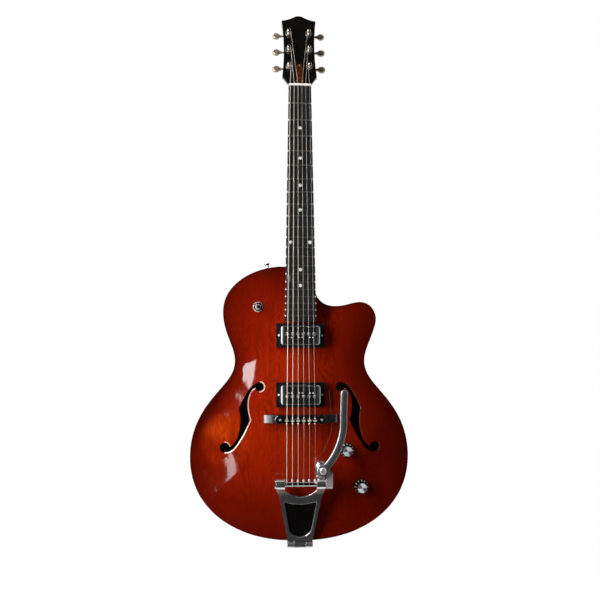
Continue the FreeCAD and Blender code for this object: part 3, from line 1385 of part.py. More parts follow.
def wiring(volume, tone, switch, jack):
    deep = V(0, 12, 0)

    def tail(point, x, z):
        start = point + V(x, 0, z)
        return start, start + deep

    routes = []
    a, b = tail(volume["rear"], 5, -5)
    c, d = tail(tone["rear"], -4, 5)
    routes.append([a, b, (b + d) * 0.5 + V(-4, 6, -3), d, c])
    a, b = tail(tone["rear"], 4, -5)
    end = jack["rear"]
    before = end - jack["axis"] * 12
    routes.append([a, b, (b + before) * 0.5 + V(2, 2, 5), before, end])
    a, b = tail(switch["rear"], 0, -3)
    c, d = tail(volume["rear"], -6, 4)
    route = [a, b]
    for share, shift in ((0.2, V(-3, 4, 8)), (0.4, V(5, 5, 4)), (0.6, V(8, 4, -4)), (0.8, V(4, 5, -7))):
        route.append(b + (d - b) * share + shift)
    routes.append(route + [d, c])
    return [wire_solid(corner_path(route, cable_bend), CABLE_RADIUS) for route in routes]


def build():
    volume = control(VOLUME_X, VOLUME_Z)
    tone = control(TONE_X, TONE_Z)
    switch = selector()
    jack = output_jack()
    pickups = [pickup(NECK_PICKUP_Z, 1), pickup(BRIDGE_PICKUP_Z, -1)]
    strap_seat, strap_out = outline_at(-STRAP_X, BODY_LENGTH)
    upper_button, upper_screw = strap_button(strap_seat, strap_out)
    tail_button, tail_screw = strap_button(V(0, 0, -HINGE_PLATE), V(0, 0, -1))

    top_cuts = sound_hole(-1) + sound_hole(1) + [pickup_hole(NECK_PICKUP_Z),
                                                 pickup_hole(BRIDGE_PICKUP_Z)]
    top_cuts += [volume["hole"], tone["hole"], switch["hole"]]
    save("top_plate", plate(-1, TOP_ARCH).cut(top_cuts))
    save("back_plate", plate(1, BACK_ARCH))
    rim = outline_prism(0, INNER_FRONT, INNER_BACK).cut(outline_prism(RIM_WALL, INNER_FRONT,
                                                                      INNER_BACK))
    save("rim", rim.cut([jack["hole"], upper_screw, tail_screw]))
    blocks = inner_blocks()
    save("linings", *linings(blocks))
    save("end_blocks", *[block.cut([upper_screw, tail_screw]) for block in blocks])
    save("tone_bars", *tone_bars())

    rod_in_neck = truss_rod()
    cover_screws = rod_cover_screws()
    tuner_screws = [housing_screw(x, z) for x, z, side in tuner_places()]
    save("neck", neck(rod_in_neck).cut(cover_screws + tuner_screws))
    save("truss_rod", rod_in_neck)
    discs = dots()
    save("fingerboard", fingerboard(discs))
    save("position_dots", *[on_neck(disc) for disc in discs])
    save("frets", *frets())
    save("nut", nut())
    save("headstock_plate", head_plate(cover_screws))
    save("truss_rod_cover", rod_cover(cover_screws))
    save("headstock_screws", *(cover_screws + tuner_screws))

    housings = [tuner_housing(x, z, side).cut(tuner_screws) for x, z, side in tuner_places()]
    save("tuner_housings", *housings)
    save("tuner_bushings", *[tuner_bushing(x, z) for x, z, side in tuner_places()])
    for number, (x, z, side) in enumerate(tuner_places(), 1):
        save("tuner_post_%d" % number, tuner_post(x, z))
        save("tuner_button_%d" % number, tuner_button(x, z, side))

    save("pickup_rings", *[p["ring"] for p in pickups])
    save("pickup_covers", *[p["cover"] for p in pickups])
    save("pickup_inserts", *[p["insert"] for p in pickups])
    save("pickup_coils", *[coil for p in pickups for coil in p["coils"]])
    save("pickup_screws", *[screw for p in pickups for screw in p["screws"]])

    save("bridge_base", bridge_base())
    save("bridge_studs", *bridge_studs())
    save("thumbwheel_bass", thumbwheel(STUD_XS[0]))
    save("thumbwheel_treble", thumbwheel(STUD_XS[1]))
    save("bridge_body", bridge_body())
    saddles = [saddle(number) for number in range(len(GAUGES))]
    save("bridge_saddles", *(saddles + [saddle_screw(number) for number in range(len(GAUGES))]))

    screw = arm_screw()
    save("tailpiece_frame", tailpiece_frame())
    save("tailpiece_panel", tailpiece_panel())
    save("tailpiece_hinge", tailpiece_hinge(tail_screw))
    save("hinge_pin", hinge_pin())
    save("vibrato_bar", vibrato_bar())
    save("string_ball_ends", *ball_ends())
    save("bar_bushings", *bar_bushings())
    save("arm_bracket", arm_bracket(screw))
    save("arm_screw", screw)
    save("vibrato_arm", vibrato_arm())
    save("vibrato_spring", vibrato_spring())
    save("strings", *[string(number) for number in range(len(GAUGES))])

    save("volume_knob", volume["knob"], volume["shaft"])
    save("tone_knob", tone["knob"], tone["shaft"])
    save("control_pots", volume["can"], volume["nut"], tone["can"], tone["nut"])
    save("selector_switch", *switch["fixed"])
    save("selector_lever", *switch["lever"])
    save("output_jack", *jack["solids"])
    save("strap_buttons", upper_button, tail_button)
    save("wiring_harness", *wiring(volume, tone, switch, jack))


build()
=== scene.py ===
import bpy
import bmesh
import json
import math
from mathutils import Matrix, Quaternion, Vector
from mathutils.kdtree import KDTree


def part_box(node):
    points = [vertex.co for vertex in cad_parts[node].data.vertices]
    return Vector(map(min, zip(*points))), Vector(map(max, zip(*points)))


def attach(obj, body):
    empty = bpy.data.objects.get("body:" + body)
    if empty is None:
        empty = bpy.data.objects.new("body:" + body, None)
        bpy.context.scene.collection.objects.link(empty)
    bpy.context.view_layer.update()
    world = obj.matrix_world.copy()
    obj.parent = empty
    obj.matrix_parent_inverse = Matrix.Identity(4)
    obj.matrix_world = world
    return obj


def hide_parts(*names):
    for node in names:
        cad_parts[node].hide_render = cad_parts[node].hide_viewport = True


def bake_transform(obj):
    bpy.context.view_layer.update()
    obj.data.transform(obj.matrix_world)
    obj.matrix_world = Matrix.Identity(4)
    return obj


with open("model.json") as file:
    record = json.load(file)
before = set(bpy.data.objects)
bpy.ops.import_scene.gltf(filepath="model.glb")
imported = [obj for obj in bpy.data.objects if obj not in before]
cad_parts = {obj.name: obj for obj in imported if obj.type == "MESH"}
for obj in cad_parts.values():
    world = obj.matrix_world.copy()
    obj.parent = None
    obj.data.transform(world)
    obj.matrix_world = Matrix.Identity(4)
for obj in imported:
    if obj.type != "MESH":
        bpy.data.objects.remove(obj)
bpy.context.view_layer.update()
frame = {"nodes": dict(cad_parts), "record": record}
cad = frame["nodes"]
bodyOf = {}
for body, members in frame["record"]["behaviour"]["bodies"].items():
    for member in members:
        bodyOf[member] = body
print("frame loaded:", len(cad), "nodes")


def tone(red, green, blue):
    # 0-255 screen colour to the linear value a socket takes
    def linear(part):
        part = part / 255
        return part / 12.92 if part <= 0.04045 else ((part + 0.055) / 1.055) ** 2.4
    return (linear(red), linear(green), linear(blue), 1.0)


class Wire:
    # one socket of a node tree; the operators add Math nodes
    def __init__(self, bench, socket):
        self.bench = bench
        self.socket = socket

    def sum(self, operation, first, second=0.0):
        return self.bench.node("ShaderNodeMath", {"operation": operation}, {0: first, 1: second})

    def __add__(self, other):
        return self.sum("ADD", self, other)

    __radd__ = __add__

    def __sub__(self, other):
        return self.sum("SUBTRACT", self, other)

    def __rsub__(self, other):
        return self.sum("SUBTRACT", other, self)

    def __mul__(self, other):
        return self.sum("MULTIPLY", self, other)

    __rmul__ = __mul__

    def __truediv__(self, other):
        return self.sum("DIVIDE", self, other)

    def __rtruediv__(self, other):
        return self.sum("DIVIDE", other, self)

    def __pow__(self, other):
        return self.sum("POWER", self, other)

    def __gt__(self, other):
        return self.sum("GREATER_THAN", self, other)

    def __lt__(self, other):
        return self.sum("LESS_THAN", self, other)

    def __abs__(self):
        return self.sum("ABSOLUTE", self)


class Bench:
    # a node tree that is built one node at a time
    def __init__(self, tree):
        self.tree = tree

    def feed(self, node, values):
        for name, value in values.items():
            if isinstance(value, Wire):
                self.tree.links.new(value.socket, node.inputs[name])
            else:
                node.inputs[name].default_value = value

    def node(self, kind, settings, sockets, output=0):
        made = self.tree.nodes.new(kind)
        for name, value in settings.items():
            if name == "stops":
                ramp = made.color_ramp
                while len(ramp.elements) < len(value):
                    ramp.elements.new(0.5)
                for element, (place, colour) in zip(ramp.elements, value):
                    element.position = place
                    element.color = colour
            else:
                setattr(made, name, value)
        self.feed(made, sockets)
        return Wire(self, made.outputs[output])


# Haze, wear and facing that several finishes share; a mark is its low and high level and its share
markSet = {"hazeScale": 260.0, "hazeDetail": 4.0, "hazeRough": 0.6, "haze": (0.4, 0.75, 0.5),
           "wear": (0.45, 0.8, 0.6), "blotScale": 60.0, "blotShare": 0.5, "lineShare": 0.6,
           "lineRough": 0.14, "lineHeight": 0.06, "faceSpan": (0.25, 0.5)}
skinSockets = {"metal": "Metallic", "gloss": "Specular IOR Level", "coat": "Coat Weight",
               "coatRough": "Coat Roughness", "relief": "Normal"}


class Finish(Bench):
    # a Principled material, with the steps that several looks share
    def __init__(self, name):
        self.material = bpy.data.materials.new(name)
        self.material.use_nodes = True
        super().__init__(self.material.node_tree)
        self.surface = self.tree.nodes["Principled BSDF"]
        self.place = self.node("ShaderNodeTexCoord", {}, {}, "Object")

    def axis(self, letter):
        return self.node("ShaderNodeSeparateXYZ", {}, {"Vector": self.place}, letter)

    def stretched(self, scale, turn=(0, 0, 0), shift=(0, 0, 0)):
        sockets = {"Vector": self.place, "Location": shift, "Rotation": turn, "Scale": scale}
        return self.node("ShaderNodeMapping", {}, sockets)

    def noise(self, vector, scale=1.0, detail=3.0, rough=0.5, bend=0.0):
        sockets = {"Vector": vector, "Scale": scale, "Detail": detail, "Roughness": rough, "Distortion": bend}
        return self.node("ShaderNodeTexNoise", {}, sockets)

    def ease(self, value, low, high, start=0.0, end=1.0):
        sockets = {"Value": value, "From Min": low, "From Max": high, "To Min": start, "To Max": end}
        return self.node("ShaderNodeMapRange", {"interpolation_type": "SMOOTHSTEP"}, sockets)

    def mix(self, share, first, second):
        # inputs 6 and 7 and output 2 are the node's colour sockets
        return self.node("ShaderNodeMix", {"data_type": "RGBA"}, {0: share, 6: first, 7: second}, 2)

    def ramp(self, value, stops):
        return self.node("ShaderNodeValToRGB", {"stops": stops}, {"Fac": value})

    def normalY(self):
        normal = self.node("ShaderNodeNewGeometry", {}, {}, "Normal")
        return self.node("ShaderNodeSeparateXYZ", {}, {"Vector": normal}, "Y")

    def facing(self, sign):
        # 1 where the surface looks along sign times Y, which is the inner face of a plate
        return self.ease(self.normalY() * sign, *markSet["faceSpan"])

    def away(self, centre):
        # offsets and distance from an axis along Y
        offX = self.axis("X") - centre[0]
        offZ = self.axis("Z") - centre[2]
        return offX, offZ, (offX * offX + offZ * offZ) ** 0.5

    def ridges(self, value, pitch):
        # even waves between 0 and 1
        return value.sum("SINE", value * (math.tau / pitch)) * 0.5 + 0.5

    def haze(self):
        return self.noise(self.place, markSet["hazeScale"], markSet["hazeDetail"], markSet["hazeRough"])

    def marked(self, kind, amount, colour, shade):
        # the shade shows where the surface is hazy or worn
        low, high, share = markSet[kind]
        return self.mix(self.ease(amount, low, high) * share, colour, shade)

    def blot(self):
        # broad patches around 0
        return self.noise(self.place, markSet["blotScale"]) - 0.5

    def satin(self, scale, colour, shade):
        # fine parallel lines, and the colour that they make with the blots
        lines = self.noise(self.stretched(scale), rough=0.6)
        share = lines * markSet["lineShare"] + self.blot() * markSet["blotShare"]
        return lines, self.mix(share, shade, colour)

    def bump(self, height, strength=0.02, distance=0.0001):
        sockets = {"Strength": strength, "Distance": distance, "Height": height}
        return self.node("ShaderNodeBump", {}, sockets, "Normal")

    def skin(self, colour, rough, **others):
        values = {skinSockets[name]: value for name, value in others.items()}
        self.feed(self.surface, {"Base Color": colour, "Roughness": rough, **values})
        return self.material


class Recipe(Bench):
    # a Geometry Nodes tree with named inputs for its sizes
    def __init__(self, name, sizes):
        super().__init__(bpy.data.node_groups.new(name, "GeometryNodeTree"))
        face = self.tree.interface
        face.new_socket("Geometry", in_out="INPUT", socket_type="NodeSocketGeometry")
        for label, kind in sizes.items():
            face.new_socket(label, in_out="INPUT", socket_type="NodeSocket" + kind)
        face.new_socket("Geometry", in_out="OUTPUT", socket_type="NodeSocketGeometry")
        self.source = self.tree.nodes.new("NodeGroupInput")
        self.result = self.tree.nodes.new("NodeGroupOutput")

    def given(self, label):
        return Wire(self, self.source.outputs[label])

    def end(self, geometry):
        real = self.node("GeometryNodeRealizeInstances", {}, {"Geometry": geometry})
        done = self.node("GeometryNodeSetMaterial", {}, {"Geometry": real, "Material": self.given("Finish")})
        self.tree.links.new(done.socket, self.result.inputs["Geometry"])


def added(name, mesh):
    piece = bpy.data.objects.new(name, mesh)
    bpy.context.scene.collection.objects.link(piece)
    return piece


def evaluatedMesh(piece):
    bpy.context.view_layer.update()
    graph = bpy.context.evaluated_depsgraph_get()
    return bpy.data.meshes.new_from_object(piece.evaluated_get(graph), depsgraph=graph)


def plain(piece):
    # the evaluated shape as a plain mesh, with no modifier left
    mesh = evaluatedMesh(piece)
    piece.modifiers.clear()
    piece.data = mesh
    return piece


def grown(name, base, recipe, sizes):
    piece = added(name, base)
    modifier = piece.modifiers.new("recipe", "NODES")
    modifier.node_group = recipe.tree
    for item in recipe.tree.interface.items_tree:
        if item.in_out == "INPUT" and item.name in sizes:
            modifier[item.identifier] = sizes[item.name]
    return plain(piece)


mergeGap = 0.000002


def mergedShape(node):
    shape = bmesh.new()
    shape.from_mesh(cad[node].data)
    bmesh.ops.remove_doubles(shape, verts=shape.verts, dist=mergeGap)
    return shape


def meshFrom(name, shape):
    mesh = bpy.data.meshes.new(name)
    shape.to_mesh(mesh)
    shape.free()
    return mesh


# Lacquered top: burst stain, flowing figure and pores under a high gloss, with painted shade over the treble
# side
topLook = {
    "lowerHalf": 0.2005, "waistHalf": 0.120, "upperHalf": 0.1425,
    "lowerZ": 0.156, "waistZ": 0.326, "upperZ": 0.420, "middleZ": 0.2512,
    "edge": tone(58, 7, 1), "ring": tone(100, 15, 2), "heart": tone(138, 27, 3), "core": tone(152, 34, 4),
    "ringStop": 0.22, "heartStop": 0.62, "cloudScale": (6, 6, 4), "cloudShare": 0.35,
    "tailZ": 0.075, "tailLift": 0.15,
    "amberHighlight": tone(186, 60, 12), "amberShare": 0.8, "amberPlace": (-0.132, 0.184), "amberReach": 0.045,
    "amberFade": 1.6, "glowScale": (9, 9, 7), "glowTurn": (0, 0.3, 0), "glowShift": (0.31, 0, 0.12),
    "glowSpan": (0.34, 0.68),
    "lineGap": 0.0072, "curlScale": (13, 13, 5), "curls": 24.0, "waverScale": (110, 110, 22), "waver": 1.6,
    "lineLow": 0.35, "lineShare": 0.46, "patchScale": (16, 16, 8), "patchSpan": (0.38, 0.62),
    "patchLeast": 0.35,
    "ribbonScale": (90, 90, 7), "ribbonTurn": (0, 0.05, 0), "ribbonSpan": (0.46, 0.72), "ribbonShare": 0.38,
    "poreScale": (900, 900, 40), "poreSpan": (0.58, 0.72), "poreShare": 0.22, "poreHeight": 0.04,
    "trebleShadeSpan": (-0.02, 0.17), "shadeSpan": (0.02, 0.46), "shadeRange": (0.28, 0.74),
    "figureAndShadeDark": tone(84, 10, 1), "poreDark": tone(52, 6, 1), "inside": tone(88, 66, 36),
    "rough": 0.015, "smearScale": (12, 12, 12), "smear": 0.03, "insideRough": 0.6,
    "waveScale": (70, 70, 26), "wave": 0.05, "waveDepth": 0.0004,
}


def stainedTop(paint, look):
    x = paint.axis("X")
    z = paint.axis("Z")
    narrowed = paint.ease(z, look["lowerZ"], look["waistZ"])
    widened = paint.ease(z, look["waistZ"], look["upperZ"])
    drop = look["waistHalf"] - look["lowerHalf"]
    rise = look["upperHalf"] - look["waistHalf"]
    across = x / (narrowed * drop + widened * rise + look["lowerHalf"])
    along = (z - look["middleZ"]) / look["middleZ"]
    inside = (1 - across * across) * (1 - along * along)
    cloud = paint.noise(paint.stretched(look["cloudScale"]), scale=2.2, rough=0.55, bend=0.6)
    tail = paint.ease(z, 0.0, look["tailZ"], look["tailLift"], 0.0)
    spread = inside + (cloud - 0.5) * look["cloudShare"] + tail
    stain = paint.ramp(spread, ((0.0, look["edge"]), (look["ringStop"], look["ring"]),
                                (look["heartStop"], look["heart"]), (1.0, look["core"])))
    # a brighter amber patch on the bass side of the lower bout, partly lighter wood and partly a painted
    # diffuse highlight
    glowPlace = paint.stretched(look["glowScale"], look["glowTurn"], look["glowShift"])
    glow = paint.noise(glowPlace, rough=0.55, bend=0.8)
    fromX = (x - look["amberPlace"][0]) / look["amberReach"]
    fromZ = (z - look["amberPlace"][1]) / look["amberReach"]
    near = paint.ease(fromX * fromX + fromZ * fromZ, 0.0, look["amberFade"], 1.0, 0.0)
    lit = paint.ease(glow, *look["glowSpan"]) * near * look["amberShare"]
    colour = paint.mix(lit, stain, look["amberHighlight"])
    curl = paint.noise(paint.stretched(look["curlScale"]), bend=0.4)
    waver = paint.noise(paint.stretched(look["waverScale"]), detail=2.0, rough=0.6)
    lines = paint.ridges(x / look["lineGap"] + curl * look["curls"] + waver * look["waver"], 1.0)
    patch = paint.noise(paint.stretched(look["patchScale"]), detail=2.0)
    patches = paint.ease(patch, *look["patchSpan"], look["patchLeast"], 1.0)
    drawn = paint.ease(lines, look["lineLow"], 1.0) * patches * look["lineShare"]
    colour = paint.mix(drawn, colour, look["figureAndShadeDark"])
    ribbonPlace = paint.stretched(look["ribbonScale"], look["ribbonTurn"])
    ribbon = paint.noise(ribbonPlace, detail=4.0, rough=0.6, bend=1.4)
    ribbons = paint.ease(ribbon, *look["ribbonSpan"]) * look["ribbonShare"]
    colour = paint.mix(ribbons, colour, look["figureAndShadeDark"])
    pores = paint.noise(paint.stretched(look["poreScale"]), detail=2.0)
    specks = paint.ease(pores, *look["poreSpan"]) * look["poreShare"]
    colour = paint.mix(specks, colour, look["poreDark"])
    # painted shade: the treble side is darkened towards the figure's dark colour, more towards the upper bout
    shade = paint.ease(z, *look["shadeSpan"], *look["shadeRange"])
    shadedTreble = paint.ease(x, *look["trebleShadeSpan"])
    colour = paint.mix(shadedTreble * shade, colour, look["figureAndShadeDark"])
    smear = paint.noise(paint.stretched(look["smearScale"]), detail=4.0, rough=0.6)
    waves = paint.noise(paint.stretched(look["waveScale"]), rough=0.6)
    inner = paint.facing(1)
    relief = paint.bump(waves + pores * look["poreHeight"], look["wave"], look["waveDepth"])
    rough = smear * look["smear"] + inner * look["insideRough"] + look["rough"]
    return paint.skin(paint.mix(inner, colour, look["inside"]), rough, relief=relief)


# Wood: streaks along the mapping's Z with dark pores, lacquered or bare
stainSet = {"detail": 5.0, "bend": 0.8, "darkStop": 0.25, "lightStop": 0.75, "poreAcross": 9, "poreAlong": 4,
            "poreSpan": (0.58, 0.74), "poreShare": 0.35, "streakRough": 0.06, "poreHeight": 0.05,
            "relief": 0.08, "reliefDepth": 0.0003}
bareSet = {"detail": 6.0, "bend": 0.5, "darkStop": 0.3, "lightStop": 0.7, "poreAcross": 8, "poreAlong": 3,
           "poreSpan": (0.55, 0.72), "poreShare": 0.5, "poreRough": 0.16, "relief": 0.05, "gloss": 0.3}
woodLook = {"light": tone(112, 18, 5), "dark": tone(60, 7, 3), "pore": tone(36, 4, 2),
            "inside": tone(120, 92, 54), "rough": 0.03, "insideRough": 0.6, "gloss": 0.5}
sideLook = dict(woodLook, light=tone(98, 13, 4), dark=tone(52, 5, 2), gloss=0.3)
lipLook = dict(woodLook, light=tone(96, 18, 4), dark=tone(70, 10, 2), rough=0.17, gloss=0.6)
edgeLook = dict(woodLook, light=tone(58, 7, 2), dark=tone(40, 4, 2), rough=0.47, gloss=0.0)
neckLook = {"light": tone(92, 16, 6), "dark": tone(50, 7, 3), "pore": tone(30, 5, 3), "rough": 0.05,
            "scale": (120, 120, 9), "turn": (0.06, 0, 0), "head": tone(15, 13, 12), "ragged": 0.004,
            "headSpan": (0.846, 0.858), "relief": 0.03, "reliefDepth": 0.0002}


def grained(paint, grain, look, scale, turn=(0, 0, 0)):
    streakPlace = paint.stretched(scale, turn)
    streak = paint.noise(streakPlace, detail=grain["detail"], rough=0.6, bend=grain["bend"])
    stops = ((grain["darkStop"], look["dark"]), (grain["lightStop"], look["light"]))
    colour = paint.ramp(streak, stops)
    across = grain["poreAcross"]
    poreScale = (scale[0] * across, scale[1] * across, scale[2] * grain["poreAlong"])
    pores = paint.noise(paint.stretched(poreScale, turn), detail=2.0)
    specks = paint.ease(pores, *grain["poreSpan"]) * grain["poreShare"]
    return paint.mix(specks, colour, look["pore"]), pores, streak


def stainedWood(paint, look, scale, turn=(0, 0, 0), bareSide=0):
    # lacquered wood; bareSide is the direction along Y of a bare inner face, or 0
    colour, pores, streak = grained(paint, stainSet, look, scale, turn)
    rough = streak * stainSet["streakRough"] + look["rough"]
    if bareSide:
        inner = paint.facing(bareSide)
        colour = paint.mix(inner, colour, look["inside"])
        rough = rough + inner * look["insideRough"]
    relief = paint.bump(streak + pores * stainSet["poreHeight"], stainSet["relief"], stainSet["reliefDepth"])
    return paint.skin(colour, rough, gloss=look["gloss"], relief=relief)


def shadedNeck(paint, look):
    # stained shaft that fades to black lacquer on the head
    colour, pores, streak = grained(paint, stainSet, look, look["scale"], look["turn"])
    height = paint.axis("Z") + (streak - 0.5) * look["ragged"]
    head = paint.ease(height, *look["headSpan"])
    return paint.skin(paint.mix(head, colour, look["head"]), streak * stainSet["streakRough"] + look["rough"],
                      relief=paint.bump(pores, look["relief"], look["reliefDepth"]))


def bareWood(paint, light, dark, scale, rough):
    colour, pores = grained(paint, bareSet, {"light": light, "dark": dark, "pore": dark}, scale)[:2]
    return paint.skin(colour, pores * bareSet["poreRough"] + rough, gloss=bareSet["gloss"],
                      relief=paint.bump(pores, bareSet["relief"]))


def polished(paint, colour, shade, rough, smudge, metal):
    # plated metal with faint handling marks
    haze = paint.haze()
    spots = paint.noise(paint.place, scale=900.0, detail=2.0)
    return paint.skin(paint.marked("haze", haze, colour, shade), haze * smudge + rough, metal=metal,
                      relief=paint.bump(spots))


def brushed(paint, colour, shade, rough, scale, metal):
    # satin metal with fine parallel lines
    lines, tint = paint.satin(scale, colour, shade)
    return paint.skin(tint, lines * markSet["lineRough"] + rough, metal=metal,
                      relief=paint.bump(lines, markSet["lineHeight"]))


# Pickup covers and the beads on their edges, with a painted highlight on the bass end and painted shade on
# the treble end
coverLook = {"plate": tone(190, 191, 194), "shade": tone(146, 147, 151), "bassHighlight": tone(226, 225, 224),
             "trebleShade": tone(58, 58, 61), "bassHighlightSpan": (0.0319, 0.0328), "trebleShadeSpan": (0.0275, 0.0283),
             "metal": 0.98, "bassDull": 0.5, "trebleDull": 0.4, "rough": 0.2, "smudge": 0.06,
             "bassRough": 0.14, "trebleRough": 0.24}
beadLook = dict(coverLook, plate=tone(150, 151, 155), shade=tone(104, 105, 109), bassHighlight=tone(236, 235, 234),
                trebleShade=tone(140, 140, 144), bassHighlightSpan=(0.0325, 0.0335), rough=0.24)


def coverMetal(paint, look):
    # plated metal with a painted highlight on its pale satin bass end and painted shade on its dull treble
    # end
    haze = paint.haze()
    litBass = paint.ease(paint.axis("X") * -1.0, *look["bassHighlightSpan"])
    shadedTreble = paint.ease(paint.axis("X"), *look["trebleShadeSpan"])
    plate = paint.marked("haze", haze, look["plate"], look["shade"])
    ends = paint.mix(shadedTreble, plate, look["trebleShade"])
    rough = haze * look["smudge"] + litBass * look["bassRough"] + shadedTreble * look["trebleRough"] + look["rough"]
    return paint.skin(paint.mix(litBass, ends, look["bassHighlight"]), rough,
                      metal=look["metal"] - litBass * look["bassDull"] - shadedTreble * look["trebleDull"])


castLook = {"light": tone(170, 169, 171), "shade": tone(112, 112, 115), "bright": tone(224, 222, 220),
            "warmSheen": tone(206, 188, 170), "scale": (300, 300, 18), "ragged": 0.004, "sheenSpan": (0.086, 0.096),
            "barrelSpan": (0.0985, 0.1005), "metal": 0.9, "sheenDull": 0.28, "barrelMetal": 0.05,
            "rough": 0.24, "lineRough": 0.12, "buff": 0.12, "lineHeight": 0.05}


def castMetal(paint, look):
    # satin casting with a painted warm sheen on the shoulders and bright buffed bearing barrels above them
    lines, tint = paint.satin(look["scale"], look["light"], look["shade"])
    height = paint.axis("Z") + paint.blot() * look["ragged"]
    buffed = paint.ease(height, *look["barrelSpan"])
    # painted sheen: the shoulders below the barrels get a warm pale colour and less metal
    worn = paint.ease(height, *look["sheenSpan"]) * (1.0 - buffed)
    sheenedShoulders = paint.mix(worn, tint, look["warmSheen"])
    return paint.skin(paint.mix(buffed, sheenedShoulders, look["bright"]),
                      lines * look["lineRough"] + look["rough"] - buffed * look["buff"],
                      metal=buffed * look["barrelMetal"] - worn * look["sheenDull"] + look["metal"],
                      relief=paint.bump(lines, look["lineHeight"]))


fretLook = {"lowZ": 0.3987, "lowHalf": 0.0290, "taper": -0.01657, "endLength": 0.0015,
            "crown": tone(124, 120, 114), "shadeTone": tone(74, 71, 67), "fretShadeSpan": (0.52, 0.80),
            "worn": tone(70, 67, 63), "end": tone(250, 246, 238), "metal": 0.9, "endDull": 0.6,
            "rough": 0.4, "smudge": 0.12}


def fretMetal(paint, look):
    # crowns with painted shade towards the body, and ends painted near white as a painted highlight
    half = (paint.axis("Z") - look["lowZ"]) * look["taper"] + look["lowHalf"]
    ends = abs(paint.axis("X")) > half - look["endLength"]
    haze = paint.haze()
    # painted shade on the crowns towards the body
    clear = paint.ease(paint.axis("Z"), *look["fretShadeSpan"])
    shadedCrown = paint.mix(clear, look["shadeTone"], look["crown"])
    crown = paint.marked("haze", haze, shadedCrown, look["worn"])
    return paint.skin(paint.mix(ends, crown, look["end"]), haze * look["smudge"] + look["rough"],
                      metal=look["metal"] - ends * look["endDull"], relief=paint.bump(haze))


switchLook = {"outer": 0.0081, "inner": 0.0051, "bore": 0.0034, "turn": 0.007, "ragged": 0.004,
              "plate": tone(252, 247, 240), "shade": tone(128, 120, 112), "black": tone(8, 8, 9),
              "metal": 0.3, "rough": 0.2, "smudge": 0.14}


def ringedMetal(paint, centre, look):
    # plated rings with a black ring between them; the plating has painted light on the bass side and painted
    # shade on the treble side
    offX, offZ, radius = paint.away(centre)
    bright = (radius > look["outer"]) + (radius < look["inner"]) * (radius > look["bore"])
    haze = paint.haze()
    # painted light and shade across the plating from side to side
    turned = paint.ease(offX + (haze - 0.5) * look["ragged"], -look["turn"], look["turn"])
    sideLit = paint.mix(turned, look["plate"], look["shade"])
    return paint.skin(paint.mix(bright, look["black"], sideLit), haze * look["smudge"] + look["rough"],
                      metal=bright * look["metal"], relief=paint.bump(haze))


screwLook = {"ringX": 0.036, "smallRows": (0.3696, 0.2698), "smallReach": 0.0016, "pole": tone(186, 186, 188),
             "shade": tone(130, 130, 133), "bright": tone(252, 250, 246), "metal": 0.85, "smallDull": 0.6,
             "rough": 0.16, "smudge": 0.14}


def pickupSteel(paint, look):
    # dull pole screws, and small screws in their own rows and on the rings painted near white as a painted
    # highlight
    highlightedSmall = abs(paint.axis("X")) > look["ringX"]
    for row in look["smallRows"]:
        highlightedSmall = highlightedSmall + (abs(paint.axis("Z") - row) < look["smallReach"])
    haze = paint.haze()
    tint = paint.marked("haze", haze, look["pole"], look["shade"])
    return paint.skin(paint.mix(highlightedSmall, tint, look["bright"]), haze * look["smudge"] + look["rough"],
                      metal=look["metal"] - highlightedSmall * look["smallDull"], relief=paint.bump(haze))


mouldSet = {"peelScale": 700.0, "peelHeight": 0.03, "wearScale": 55.0, "wearRough": 0.12, "coatRough": 0.05}


def moulded(paint, colour, shade, rough, coat):
    # plastic or lacquer with a slight orange peel
    peel = paint.noise(paint.place, mouldSet["peelScale"], detail=2.0)
    wear = paint.noise(paint.place, mouldSet["wearScale"], detail=5.0, rough=0.65)
    return paint.skin(paint.marked("wear", wear, colour, shade), wear * mouldSet["wearRough"] + rough,
                      coat=coat, coatRough=mouldSet["coatRough"],
                      relief=paint.bump(peel, mouldSet["peelHeight"]))


shellLook = {"light": tone(104, 52, 26), "dark": tone(40, 18, 9), "lightStop": 0.62, "darkStop": 0.40,
             "scale": (240, 240, 130), "bend": 2.5, "rough": 0.16, "swirlRough": 0.05, "coat": 0.8}


def mottled(paint, look):
    # swirled cellulose sheet
    swirl = paint.noise(paint.stretched(look["scale"]), detail=4.0, rough=0.55, bend=look["bend"])
    colour = paint.ramp(swirl, ((look["darkStop"], look["dark"]), (look["lightStop"], look["light"])))
    return paint.skin(colour, swirl * look["swirlRough"] + look["rough"], coat=look["coat"],
                      coatRough=mouldSet["coatRough"])


footLook = {"dark": tone(20, 17, 16), "worn": tone(30, 27, 25), "tip": tone(74, 74, 75), "tipStart": 0.0515,
            "tipMetal": 0.85, "rough": 0.2, "wearScale": 90.0, "wearRough": 0.12, "wearHeight": 0.03}


def tippedBase(paint, look):
    # black lacquered foot with plated ends
    ends = abs(paint.axis("X")) > look["tipStart"]
    wear = paint.noise(paint.place, look["wearScale"], detail=4.0, rough=0.6)
    colour = paint.mix(ends, paint.marked("wear", wear, look["dark"], look["worn"]), look["tip"])
    return paint.skin(colour, wear * look["wearRough"] + look["rough"], metal=ends * look["tipMetal"],
                      relief=paint.bump(wear, look["wearHeight"]))


dialLook = {"capRadius": 0.0086, "capFacing": -0.55, "fans": 2.0, "fanTurn": 0.6, "fanSpan": (0.1, 0.6),
            "groove": 0.0005, "grooveHeight": 0.1, "grooveDepth": 0.00005, "capSheenDark": tone(96, 98, 102),
            "capSheen": tone(248, 249, 252), "capMetal": 0.4, "capGloss": 0.15, "skirt": tone(9, 9, 10),
            "skirtWorn": tone(20, 20, 21), "wearScale": 300.0, "wearRough": 0.1, "rough": 0.5,
            "gloss": 0.06}


